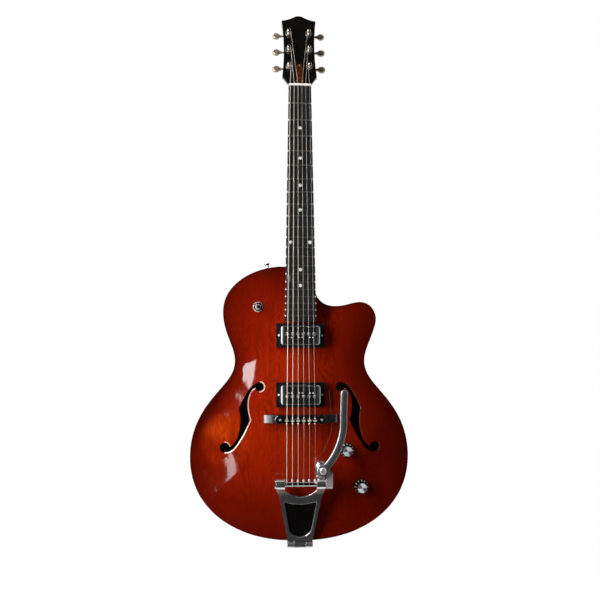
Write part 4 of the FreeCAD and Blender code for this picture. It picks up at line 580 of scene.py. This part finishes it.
def dialFinish(paint, centre, look):
    # black skirt, and a spun metal cap with a painted reflection whose brightness fans out from the middle
    offX, offZ, radius = paint.away(centre)
    cap = (radius < look["capRadius"]) * (paint.normalY() < look["capFacing"])
    # painted reflection: a bright fan by angle round the cap
    angle = offX.sum("ARCTAN2", offX, offZ)
    sheenFan = angle.sum("SINE", angle * look["fans"] + look["fanTurn"]) * 0.5 + 0.5
    grooves = paint.ridges(radius, look["groove"])
    metal = paint.mix(paint.ease(sheenFan, *look["fanSpan"]), look["capSheenDark"], look["capSheen"])
    wear = paint.noise(paint.place, look["wearScale"], rough=0.6)
    skirt = paint.marked("wear", wear, look["skirt"], look["skirtWorn"])
    return paint.skin(paint.mix(cap, skirt, metal),
                      wear * look["wearRough"] - cap * look["capGloss"] + look["rough"],
                      metal=cap * look["capMetal"], gloss=look["gloss"],
                      relief=paint.bump(grooves * cap, look["grooveHeight"], look["grooveDepth"]))


# The treble strings get painted shade, most of all behind the bridge
wireLook = {"thinSpan": (-0.002, 0.006), "behindSpan": (0.17, 0.22), "thinShare": 0.2, "behindShare": 0.4,
            "shadeTone": tone(84, 62, 52), "metal": 0.3, "rough": 0.34, "turnShade": 0.5, "turnRough": 0.1,
            "turnHeight": 0.06, "turnDepth": 0.00003}


def woundSteel(paint, colour, shade, pitch, look):
    # string wire, with the turns of its winding where it has one
    turns = paint.ridges(paint.axis("Z"), pitch)
    thin = paint.ease(paint.axis("X"), *look["thinSpan"])
    behind = 1.0 - paint.ease(paint.axis("Z"), *look["behindSpan"])
    shadedWire = thin * (behind * look["behindShare"] + look["thinShare"])
    tint = paint.mix(shadedWire, paint.mix(turns * look["turnShade"], colour, shade), look["shadeTone"])
    return paint.skin(tint, turns * look["turnRough"] + look["rough"], metal=look["metal"],
                      relief=paint.bump(turns, look["turnHeight"], look["turnDepth"]))


volumeCentre = (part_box("volume_knob")[0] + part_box("volume_knob")[1]) / 2
toneCentre = (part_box("tone_knob")[0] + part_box("tone_knob")[1]) / 2
switchCentre = (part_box("selector_switch")[0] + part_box("selector_switch")[1]) / 2

# Plated finishes: colour, shade, roughness, smudge and metal
platedSet = {
    # the next finish is no plating: it is the bass sound hole's lacquer lip, painted pale pink as a painted
    # highlight
    "brightLip": (tone(248, 208, 200), tone(226, 176, 166), 0.24, 0.10, 0.55),
    "chrome": (tone(216, 217, 220), tone(170, 171, 175), 0.08, 0.10, 1.0),
    "darkChrome": (tone(150, 150, 154), tone(90, 90, 94), 0.12, 0.14, 1.0),
    "nickel": (tone(168, 152, 138), tone(112, 98, 86), 0.34, 0.14, 0.74),
    "brightNickel": (tone(232, 228, 220), tone(190, 184, 174), 0.2, 0.14, 0.5),
    "washerNickel": (tone(206, 196, 182), tone(140, 130, 118), 0.16, 0.14, 0.9),
    "postNickel": (tone(190, 178, 164), tone(96, 88, 80), 0.14, 0.14, 0.95),
    "brightEdge": (tone(206, 206, 208), tone(160, 160, 164), 0.2, 0.14, 0.95),
    "saddleNickel": (tone(214, 204, 184), tone(150, 140, 122), 0.14, 0.14, 0.92),
    "hingeSteel": (tone(214, 211, 206), tone(140, 137, 133), 0.18, 0.14, 0.88),
    "domeSteel": (tone(232, 230, 226), tone(196, 193, 189), 0.34, 0.1, 0.85),
    "brass": (tone(196, 172, 128), tone(130, 106, 66), 0.22, 0.14, 1.0),
}
# Satin finishes: colour, shade, roughness, line scale and metal
satinSet = {
    "brushedArm": (tone(196, 198, 203), tone(140, 143, 148), 0.24, (260, 260, 10), 0.92),
    "brightCast": (tone(226, 222, 217), tone(176, 172, 168), 0.28, (300, 300, 18), 0.55),
    "steel": (tone(170, 170, 172), tone(110, 110, 113), 0.30, (500, 500, 60), 1.0),
}
# Plastics and lacquers: colour, worn colour, roughness and coat
mouldedSet = {
    "blackLacquer": (tone(13, 12, 11), tone(20, 18, 17), 0.10, 1.0),
    "blackPlastic": (tone(11, 11, 12), tone(22, 22, 23), 0.26, 0.3),
    "matteBlack": (tone(8, 8, 9), tone(14, 14, 15), 0.34, 0.0),
    "coilTape": (tone(40, 30, 24), tone(62, 44, 34), 0.55, 0.0),
    "bone": (tone(252, 250, 240), tone(238, 233, 220), 0.32, 0.2),
    "pearl": (tone(222, 224, 224), tone(190, 196, 198), 0.18, 0.6),
    "cableBlack": (tone(24, 24, 25), tone(44, 44, 46), 0.5, 0.0),
    "dialWhite": (tone(250, 250, 246), tone(232, 232, 228), 0.4, 0.0),
}
finishRows = (
    ("redTop", stainedTop, topLook),
    ("redBack", stainedWood, woodLook, (34, 34, 5), (0, 0.04, 0), -1),
    ("redSides", stainedWood, sideLook, (60, 60, 9)),
    ("redEdge", stainedWood, edgeLook, (90, 90, 30)),
    ("redLip", stainedWood, lipLook, (90, 90, 30)),
    ("redNeck", shadedNeck, neckLook),
    ("paleSpruce", bareWood, tone(214, 186, 142), tone(170, 134, 92), (160, 160, 5), 0.57),
    ("darkBoard", bareWood, tone(29, 28, 27), tone(20, 19, 19), (260, 260, 9), 0.42),
    ("tippedBridge", tippedBase, footLook),
    ("fretWire", fretMetal, fretLook),
    ("ringedSwitch", ringedMetal, switchCentre, switchLook),
    ("castFrame", castMetal, castLook),
    ("pickupSteel", pickupSteel, screwLook),
    ("coverChrome", coverMetal, coverLook),
    ("edgeChrome", coverMetal, beadLook),
    ("tortoise", mottled, shellLook),
    ("volumeDial", dialFinish, volumeCentre, dialLook),
    ("toneDial", dialFinish, toneCentre, dialLook),
    ("plainString", woundSteel, tone(226, 220, 212), tone(212, 205, 196), 0.01, wireLook),
    ("woundString", woundSteel, tone(200, 190, 180), tone(150, 139, 128), 0.0004, wireLook),
)
finishes = {name: maker(Finish(name), *values) for name, maker, *values in finishRows}
for maker, rows in ((polished, platedSet), (brushed, satinSet), (moulded, mouldedSet)):
    for name, values in rows.items():
        finishes[name] = maker(Finish(name), *values)
print("finishes made:", len(finishes))

dressing = {
    "top_plate": "redTop", "back_plate": "redBack", "rim": "redSides", "neck": "redNeck",
    "linings": "paleSpruce", "end_blocks": "paleSpruce", "tone_bars": "paleSpruce", "truss_rod": "steel",
    "fingerboard": "darkBoard", "frets": "fretWire", "position_dots": "pearl", "nut": "bone",
    "headstock_plate": "blackLacquer", "truss_rod_cover": "tortoise", "headstock_screws": "nickel",
    "tuner_housings": "nickel", "tuner_bushings": "washerNickel", "pickup_rings": "blackPlastic",
    "pickup_covers": "coverChrome", "pickup_inserts": "matteBlack", "pickup_coils": "coilTape",
    "pickup_screws": "pickupSteel",
    "bridge_base": "tippedBridge", "bridge_studs": "brightNickel", "thumbwheel_bass": "darkChrome",
    "thumbwheel_treble": "darkChrome", "bridge_body": "darkChrome", "bridge_saddles": "saddleNickel",
    "tailpiece_frame": "castFrame", "tailpiece_panel": "blackLacquer", "tailpiece_hinge": "hingeSteel",
    "hinge_pin": "steel", "vibrato_bar": "chrome", "string_ball_ends": "brightNickel",
    "bar_bushings": "brass", "arm_bracket": "brightCast", "arm_screw": "domeSteel",
    "vibrato_arm": "brushedArm", "vibrato_spring": "chrome", "strings": "plainString",
    "volume_knob": "volumeDial", "tone_knob": "toneDial", "control_pots": "steel",
    "selector_switch": "ringedSwitch", "selector_lever": "blackPlastic", "output_jack": "chrome",
    "strap_buttons": "chrome", "wiring_harness": "cableBlack",
}
for number in range(1, 7):
    dressing["tuner_post_%d" % number] = "postNickel"
    dressing["tuner_button_%d" % number] = "nickel"
for name, finish in dressing.items():
    mesh = cad[name].data
    mesh.materials.clear()
    mesh.materials.append(finishes[finish])
print("nodes dressed:", len(dressing))

# Hard parts whose edges are eased, each in the place of its node: bevel width in metres and steps
easedEdges = {
    "tailpiece_frame": (0.0020, 4), "tailpiece_hinge": (0.0012, 3), "arm_bracket": (0.0012, 3),
    "arm_screw": (0.0006, 2), "pickup_covers": (0.0016, 3), "pickup_rings": (0.0006, 2),
    "bridge_body": (0.0008, 2), "bridge_base": (0.0010, 2), "headstock_plate": (0.0004, 2),
    "truss_rod_cover": (0.0005, 2), "volume_knob": (0.0004, 2), "tone_knob": (0.0004, 2),
    "tuner_housings": (0.0006, 2), "nut": (0.0004, 2), "thumbwheel_bass": (0.0004, 2),
    "thumbwheel_treble": (0.0004, 2),
}
easedAngles = {"flat": math.radians(0.5), "sharp": math.radians(30), "corner": math.radians(38)}


def dressedCopy(name, node, shape):
    mesh = meshFrom(name, shape)
    mesh.materials.append(finishes[dressing[node]])
    mesh.shade_smooth()
    return added(name, mesh)


def eased(node, width, steps):
    shape = mergedShape(node)
    bmesh.ops.dissolve_limit(shape, angle_limit=easedAngles["flat"], verts=shape.verts, edges=shape.edges)
    piece = dressedCopy(node + ".eased", node, shape)
    piece.data.set_sharp_from_angle(angle=easedAngles["sharp"])
    bevel = piece.modifiers.new("edge", "BEVEL")
    bevel.width = width
    bevel.segments = steps
    bevel.limit_method = "ANGLE"
    bevel.angle_limit = easedAngles["corner"]
    bevel.use_clamp_overlap = True
    bevel.harden_normals = True
    plain(piece)
    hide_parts(node)
    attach(piece, bodyOf[node])


for node, (width, steps) in easedEdges.items():
    eased(node, width, steps)
print("edges eased:", len(easedEdges))

# Vibrato arm: a flat strip whose front is ground to a crown
armCrown = {"voxel": 0.0006, "rise": 0.0012, "reach": 0.0060, "wall": 0.4, "front": -0.6, "passes": 4,
            "blur": 0.5}
arm = dressedCopy("armCrowned", "vibrato_arm", mergedShape("vibrato_arm"))
evened = arm.modifiers.new("even", "REMESH")
evened.mode = "VOXEL"
evened.voxel_size = armCrown["voxel"]
plain(arm)
armShape = bmesh.new()
armShape.from_mesh(arm.data)
armShape.normal_update()
walls = [vertex for vertex in armShape.verts if abs(vertex.normal.y) < armCrown["wall"]]
wallTree = KDTree(len(walls))
for index, vertex in enumerate(walls):
    wallTree.insert(vertex.co, index)
wallTree.balance()
for vertex in armShape.verts:
    if vertex.normal.y < armCrown["front"]:
        inward = min(1, wallTree.find(vertex.co)[2] / armCrown["reach"])
        vertex.co.y -= armCrown["rise"] * (1 - (1 - inward) ** 2)
for passNumber in range(armCrown["passes"]):
    bmesh.ops.smooth_vert(armShape, verts=armShape.verts, factor=armCrown["blur"],
                          use_axis_x=True, use_axis_y=True, use_axis_z=True)
for face in armShape.faces:
    face.smooth = True
armShape.to_mesh(arm.data)
armShape.free()
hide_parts("vibrato_arm")
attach(arm, bodyOf["vibrato_arm"])
print("arm crowned:", len(arm.data.polygons), "faces")

# Rounded beads along the edges of the body, sound holes, pickup covers and tailpiece window
beadRecipe = Recipe("edgeBead", {"Radius": "Float", "Sides": "Int", "Finish": "Material"})
beadPath = beadRecipe.node("GeometryNodeMeshToCurve", {}, {"Mesh": beadRecipe.given("Geometry")})
beadRound = beadRecipe.node("GeometryNodeCurvePrimitiveCircle", {"mode": "RADIUS"},
                            {"Resolution": beadRecipe.given("Sides"), "Radius": beadRecipe.given("Radius")})
beadTube = beadRecipe.node("GeometryNodeCurveToMesh", {}, {"Curve": beadPath, "Profile Curve": beadRound})
beadRecipe.end(beadRecipe.node("GeometryNodeSetShadeSmooth", {}, {"Geometry": beadTube}))


cornerSet = {"flat": 0.85, "steep": 0.3}


def cornerPath(name, node, facing, wanted, bead):
    # the edges where an outer face meets its wall, sunk a little below the face and into the wall
    shape = mergedShape(node)
    shape.normal_update()
    path = bmesh.new()
    twins = {}
    for edge in shape.edges:
        if len(edge.link_faces) != 2:
            continue
        first, second = (face.normal for face in edge.link_faces)
        if first.y * facing < second.y * facing:
            first, second = second, first
        if first.y * facing < cornerSet["flat"] or abs(second.y) > bead.get("steep", cornerSet["steep"]):
            continue
        if not all(wanted(vertex.co, second) for vertex in edge.verts):
            continue
        ends = []
        for vertex in edge.verts:
            if vertex.index not in twins:
                inward = first * bead["depth"] + second * bead["inset"]
                twins[vertex.index] = path.verts.new(vertex.co - inward)
            ends.append(twins[vertex.index])
        path.edges.new(ends)
    shape.free()
    return meshFrom(name, path)


bassLip = {"radius": 0.0018, "depth": 0.0016, "inset": 0.0009, "sides": 16, "turned": 0.05}
trebleLip = {"radius": 0.0011, "depth": 0.0010, "inset": 0.0008, "sides": 12}
edgeBead = {"radius": 0.0013, "depth": 0.0008, "inset": 0.0008, "sides": 10}
coverBead = {"radius": 0.0009, "depth": 0.00057, "inset": 0.00057, "sides": 10, "rows": (0.266, 0.3734),
             "halfWidth": 0.0305, "halfLength": 0.0158, "frontY": -0.055}
frameBead = {"radius": 0.0006, "depth": 0.00035, "inset": 0.00035, "sides": 10, "steep": 0.6, "top": 0.0975,
             "bottom": 0.004, "lowHalf": 0.0195, "flare": 0.1824, "turned": 0.3}
plateEdge = {"offMiddle": 0.038, "near": 0.0006, "neckHalf": 0.034, "neckZ": 0.3}
holeZone = {"nearX": 0.055, "farX": 0.155, "lowZ": 0.15, "highZ": 0.295, "frontY": -0.0405,
            "knobClear": 0.008}


def inSoundHole(place):
    # the walls of the two sound holes, without the bores for the controls
    fromKnob = math.hypot(place.x - volumeCentre[0], place.z - volumeCentre[2])
    if fromKnob <= holeZone["knobClear"] or place.y >= holeZone["frontY"]:
        return False
    inWidth = holeZone["nearX"] < abs(place.x) < holeZone["farX"]
    return inWidth and holeZone["lowZ"] < place.z < holeZone["highZ"]


# only the lip edges whose wall faces the bass side, where the painted highlight goes
def onBassLip(place, wall):
    return inSoundHole(place) and place.x < 0 and wall.x < bassLip["turned"]


def onTrebleLip(place, wall):
    return inSoundHole(place) and place.x > 0


def onPlateEdge(place, wall):
    underNeck = abs(place.x) < plateEdge["neckHalf"] and place.z > plateEdge["neckZ"]
    return abs(abs(place.y) - plateEdge["offMiddle"]) < plateEdge["near"] and not underNeck


def onCoverEdge(place, wall):
    offRow = min(abs(place.z - row) for row in coverBead["rows"])
    outside = abs(place.x) > coverBead["halfWidth"] or offRow > coverBead["halfLength"]
    return place.y < coverBead["frontY"] and outside


def onFrameEdge(place, wall):
    half = frameBead["lowHalf"] + place.z * frameBead["flare"]
    inWindow = frameBead["bottom"] < place.z < frameBead["top"] and abs(place.x) < half
    return inWindow and wall.x < frameBead["turned"]


for name, node, facing, wanted, bead, finish in (
        ("coverEdges", "pickup_covers", -1, onCoverEdge, coverBead, "edgeChrome"),
        ("frameEdges", "tailpiece_frame", -1, onFrameEdge, frameBead, "brightEdge"),
        ("bassHoleLip", "top_plate", -1, onBassLip, bassLip, "brightLip"),
        ("trebleHoleLip", "top_plate", -1, onTrebleLip, trebleLip, "redLip"),
        ("topEdge", "top_plate", -1, onPlateEdge, edgeBead, "redEdge"),
        ("backEdge", "back_plate", 1, onPlateEdge, edgeBead, "redEdge")):
    path = cornerPath(name, node, facing, wanted, bead)
    sizes = {"Radius": bead["radius"], "Sides": bead["sides"], "Finish": finishes[finish]}
    print(name, len(path.edges), "edges")
    piece = grown(name, path, beadRecipe, sizes)
    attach(piece, "guitar")

# Numerals round the skirt of each dial
numeralSet = {"height": 0.0036, "fontRatio": 1.4, "thickness": 0.00012, "roundness": 3, "ringRadius": 0.01115,
              "ringHeight": 0.01926, "slope": (0.540, 0.841), "start": -150, "step": 30, "last": 10,
              "proud": 0.00008}


def numeralMesh(text):
    words = bpy.data.curves.new("numeral", "FONT")
    words.body = text
    words.size = numeralSet["height"] * numeralSet["fontRatio"]
    words.align_x = "CENTER"
    words.align_y = "CENTER"
    words.extrude = numeralSet["thickness"] / 2
    words.resolution_u = numeralSet["roundness"]
    holder = added("numeral", words)
    mesh = evaluatedMesh(holder)
    bpy.data.objects.remove(holder)
    return mesh


def numeralRing(name, node, centre):
    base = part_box(node)[1][1]
    outward, forward = numeralSet["slope"]
    ring = bmesh.new()
    for number in range(numeralSet["last"] + 1):
        turned = math.radians(numeralSet["start"] + numeralSet["step"] * number)
        out = Vector((math.sin(turned), 0, math.cos(turned)))
        reading = Vector((math.cos(turned), 0, -math.sin(turned)))
        front = Vector((0, -1, 0))
        down = out * outward - front * forward
        normal = out * forward + front * outward
        spot = Vector((centre[0], base, centre[2])) + out * numeralSet["ringRadius"]
        spot += front * numeralSet["ringHeight"] + normal * numeralSet["proud"]
        place = Matrix((reading, down, normal)).transposed().to_4x4()
        place.translation = spot
        mesh = numeralMesh(str(number))
        mesh.transform(place)
        ring.from_mesh(mesh)
    mesh = meshFrom(name, ring)
    mesh.materials.append(finishes["dialWhite"])
    piece = added(name, mesh)
    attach(piece, bodyOf[node])


numeralRing("volumeNumerals", "volume_knob", volumeCentre)
numeralRing("toneNumerals", "tone_knob", toneCentre)
print("dial numerals made")

# Strings in three lengths, cut at the saddles and between the saddles and the vibrato bar
stringSet = {"saddleZ": 0.222332, "partZ": 0.165, "endZ": 1.1, "woundX": 0.008, "nut": (0, -0.037, 0.851),
             "saddle": (0, -0.079, 0.2223), "part": (0, -0.076, 0.165), "bar": (0, -0.073, 0.119)}


def stringPiece(name, low, high):
    shape = mergedShape("strings")
    for level, facing in ((low, -1), (high, 1)):
        everything = shape.verts[:] + shape.edges[:] + shape.faces[:]
        bmesh.ops.bisect_plane(shape, geom=everything, plane_co=(0, 0, level), plane_no=(0, 0, facing),
                               clear_outer=True)
    for face in shape.faces:
        face.smooth = True
    windBass(shape)
    mesh = meshFrom(name, shape)
    mesh.materials.append(finishes["plainString"])
    mesh.materials.append(finishes["woundString"])
    return added(name, mesh)


def windBass(shape):
    # each loose string is one island; the four on the bass side are wound
    seen = set()
    for start in shape.verts:
        if start in seen:
            continue
        island = [start]
        seen.add(start)
        for vertex in island:
            for edge in vertex.link_edges:
                other = edge.other_vert(vertex)
                if other not in seen:
                    seen.add(other)
                    island.append(other)
        near = min(island, key=lambda vertex: abs(vertex.co.z - stringSet["saddleZ"]))
        if near.co.x < stringSet["woundX"]:
            for vertex in island:
                for face in vertex.link_faces:
                    face.material_index = 1


stringFaces = 0
for name, low, high, body, still, led in (
        ("playingStrings", stringSet["saddleZ"], stringSet["endZ"], "bridge", "nut", "saddle"),
        ("tailStrings", stringSet["partZ"], stringSet["saddleZ"], "bridge", "part", "saddle"),
        ("barStrings", 0.0, stringSet["partZ"], "vibrato", "part", "bar")):
    piece = stringPiece(name, low, high)
    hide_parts("strings")
    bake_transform(piece)
    stringFaces += len(piece.data.polygons)
print("strings made:", stringFaces, "faces")

# Vibrato spring, as a merged, smooth-shaded copy of its node
spring = dressedCopy("springCoil", "vibrato_spring", mergedShape("vibrato_spring"))
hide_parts("vibrato_spring")
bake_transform(spring)
print("spring made")

# Camera, level with the neck pickup and a little to the bass side, tipped up
shot = {"distance": 1.1478, "turn": 3.0, "axisY": -0.040, "height": 0.364947, "tip": 3.718, "lens": 36.957,
        "sensor": 36.0}
turn = math.radians(shot["turn"])
tip = math.radians(shot["tip"])
lensData = bpy.data.cameras.new("shotCamera")
lensData.sensor_width = shot["sensor"]
lensData.lens = shot["lens"]
camera = added("shotCamera", lensData)
sideways = -shot["distance"] * math.sin(turn)
forward = shot["axisY"] - shot["distance"] * math.cos(turn)
camera.location = (sideways, forward, shot["height"])
heading = Vector((math.sin(turn) * math.cos(tip), math.cos(turn) * math.cos(tip), math.sin(tip)))
camera.rotation_mode = "QUATERNION"
camera.rotation_quaternion = heading.to_track_quat("-Z", "Y")
bpy.context.scene.camera = camera

# Lamps: onlyShine shows in reflections alone, and shineless stays out of them
lamps = {
    "keyLeft": {"at": (-0.70, -0.50, 0.50), "aim": (0.0, -0.04, 0.30), "size": (0.25, 0.9), "power": 12.5},
    "headLeft": {"at": (-0.9, -0.7, 1.25), "aim": (0.0, 0.0, 0.80), "size": (0.25, 0.5), "power": 8.0},
    "fillRight": {"at": (1.30, -0.62, 0.55), "aim": (0, -0.05, 0.35), "size": (0.25, 1.0), "power": 1.7},
    "topStrip": {"at": (-0.5, 0.1, 2.0), "aim": (0, 0, 0.6), "size": (0.9, 0.3), "power": 5.0},
    "upperGlint": {"at": (-2.9977, -7.4924, 0.5786), "aim": (-0.0905, -0.0426, 0.3062), "size": (0.25, 0.62),
                   "power": 6.4, "roll": 21.6},
    "lowerGlint": {"at": (-0.4105, -1.2660, -0.2070), "aim": (-0.1313, -0.0429, 0.1308),
                   "size": (0.022, 0.132), "power": 0.070, "roll": 30},
    "leftCard": {"at": (-1.15, -0.97, 0.35), "aim": (-0.05, -0.05, 0.25), "size": (0.5, 1.1), "power": 10.0,
                 "onlyShine": True},
    "topCard": {"at": (0.0, 0.38, 2.3), "aim": (0.0, 0.0, 0.3), "size": (1.6, 0.9), "power": 7.0,
                "onlyShine": True},
    "backLeft": {"at": (-1.1, 1.5, 0.9), "aim": (0.0, 0.0, 0.35), "size": (0.9, 0.9), "power": 18.0,
                 "shineless": True},
    "backRight": {"at": (1.5, 1.1, 0.6), "aim": (0.0, 0.0, 0.30), "size": (0.7, 0.9), "power": 13.0,
                  "shineless": True},
}
for name, lamp in lamps.items():
    light = bpy.data.lights.new(name, "AREA")
    light.shape = "RECTANGLE"
    light.size = lamp["size"][0]
    light.size_y = lamp["size"][1]
    light.energy = lamp["power"]
    holder = added(name, light)
    holder.location = lamp["at"]
    faced = (Vector(lamp["aim"]) - Vector(lamp["at"])).to_track_quat("-Z", "Y")
    rolled = Quaternion((0, 0, 1), math.radians(lamp.get("roll", 0)))
    holder.rotation_euler = (faced @ rolled).to_euler()
    holder.visible_camera = False
    holder.visible_diffuse = not lamp.get("onlyShine")
    holder.visible_glossy = not lamp.get("shineless")

# White room: the world and floor are white where the camera or a reflection sees them
room = {"ambient": 0.13, "white": (1, 1, 1, 1), "floorZ": -0.0185, "floorX": 0.9, "floorFront": -0.02,
        "floorBack": 1.0, "floorTone": (0.9, 0.9, 0.9, 1), "floorRough": 0.9, "floorGlow": 0.97,
        "glowStrength": 1.02}


def seenDirectly(bench):
    # 1 for the camera, reflections and what glass lets through
    kinds = ("Is Camera Ray", "Is Glossy Ray", "Is Transmission Ray")
    rays = [bench.node("ShaderNodeLightPath", {}, {}, kind) for kind in kinds]
    total = rays[0] + rays[1] + rays[2]
    return total.sum("MINIMUM", total, 1.0)


world = bpy.data.worlds.new("studio")
world.use_nodes = True
air = Bench(world.node_tree)
backdrop = world.node_tree.nodes["Background"]
backdrop.inputs["Color"].default_value = room["white"]
level = seenDirectly(air) * (1 - room["ambient"]) + room["ambient"]
world.node_tree.links.new(level.socket, backdrop.inputs["Strength"])
bpy.context.scene.world = world

floorMesh = bpy.data.meshes.new("floor")
low = room["floorZ"]
wide = room["floorX"]
corners = [(-wide, room["floorFront"], low), (wide, room["floorFront"], low),
           (wide, room["floorBack"], low), (-wide, room["floorBack"], low)]
floorMesh.from_pydata(corners, [], [(0, 1, 2, 3)])
floor = added("floor", floorMesh)
pale = Finish("paleFloor")
pale.skin(room["floorTone"], room["floorRough"], gloss=0.0)
glow = pale.node("ShaderNodeEmission", {}, {"Color": room["white"], "Strength": room["glowStrength"]})
share = seenDirectly(pale) * room["floorGlow"]
joined = pale.node("ShaderNodeMixShader", {}, {0: share, 1: Wire(pale, pale.surface.outputs[0]), 2: glow})
pale.tree.links.new(joined.socket, pale.tree.nodes["Material Output"].inputs["Surface"])
floorMesh.materials.append(pale.material)

# Dark curtain for the metal to reflect on the camera's side, open left, right, above and below by angle
drapery = {"radius": 9.0, "columns": 72, "rows": 36, "centre": (0, 0, 0.4), "tone": tone(16, 16, 17),
           "leftOpen": -44, "rightOpen": 66, "topOpen": 76, "lowOpen": -62}


def curtainOpen(place):
    turned = math.degrees(math.atan2(place.x, -place.y))
    raised = math.degrees(math.asin(place.z / place.length))
    if turned < drapery["leftOpen"] or turned > drapery["rightOpen"]:
        return True
    return raised > drapery["topOpen"] or raised < drapery["lowOpen"]


curtainShape = bmesh.new()
bmesh.ops.create_uvsphere(curtainShape, u_segments=drapery["columns"], v_segments=drapery["rows"],
                          radius=drapery["radius"])
gaps = [face for face in curtainShape.faces if curtainOpen(face.calc_center_median())]
bmesh.ops.delete(curtainShape, geom=gaps, context="FACES")
bmesh.ops.translate(curtainShape, verts=curtainShape.verts, vec=drapery["centre"])
curtainMesh = meshFrom("curtain", curtainShape)
drape = Finish("curtain")
drape.skin(drapery["tone"], 1.0, gloss=0.0)
curtainMesh.materials.append(drape.material)
curtain = added("curtain", curtainMesh)
curtain.visible_camera = False
curtain.visible_diffuse = False
curtain.visible_shadow = False
bpy.context.scene.view_settings.view_transform = "Standard"
print("camera, lamps and room set")
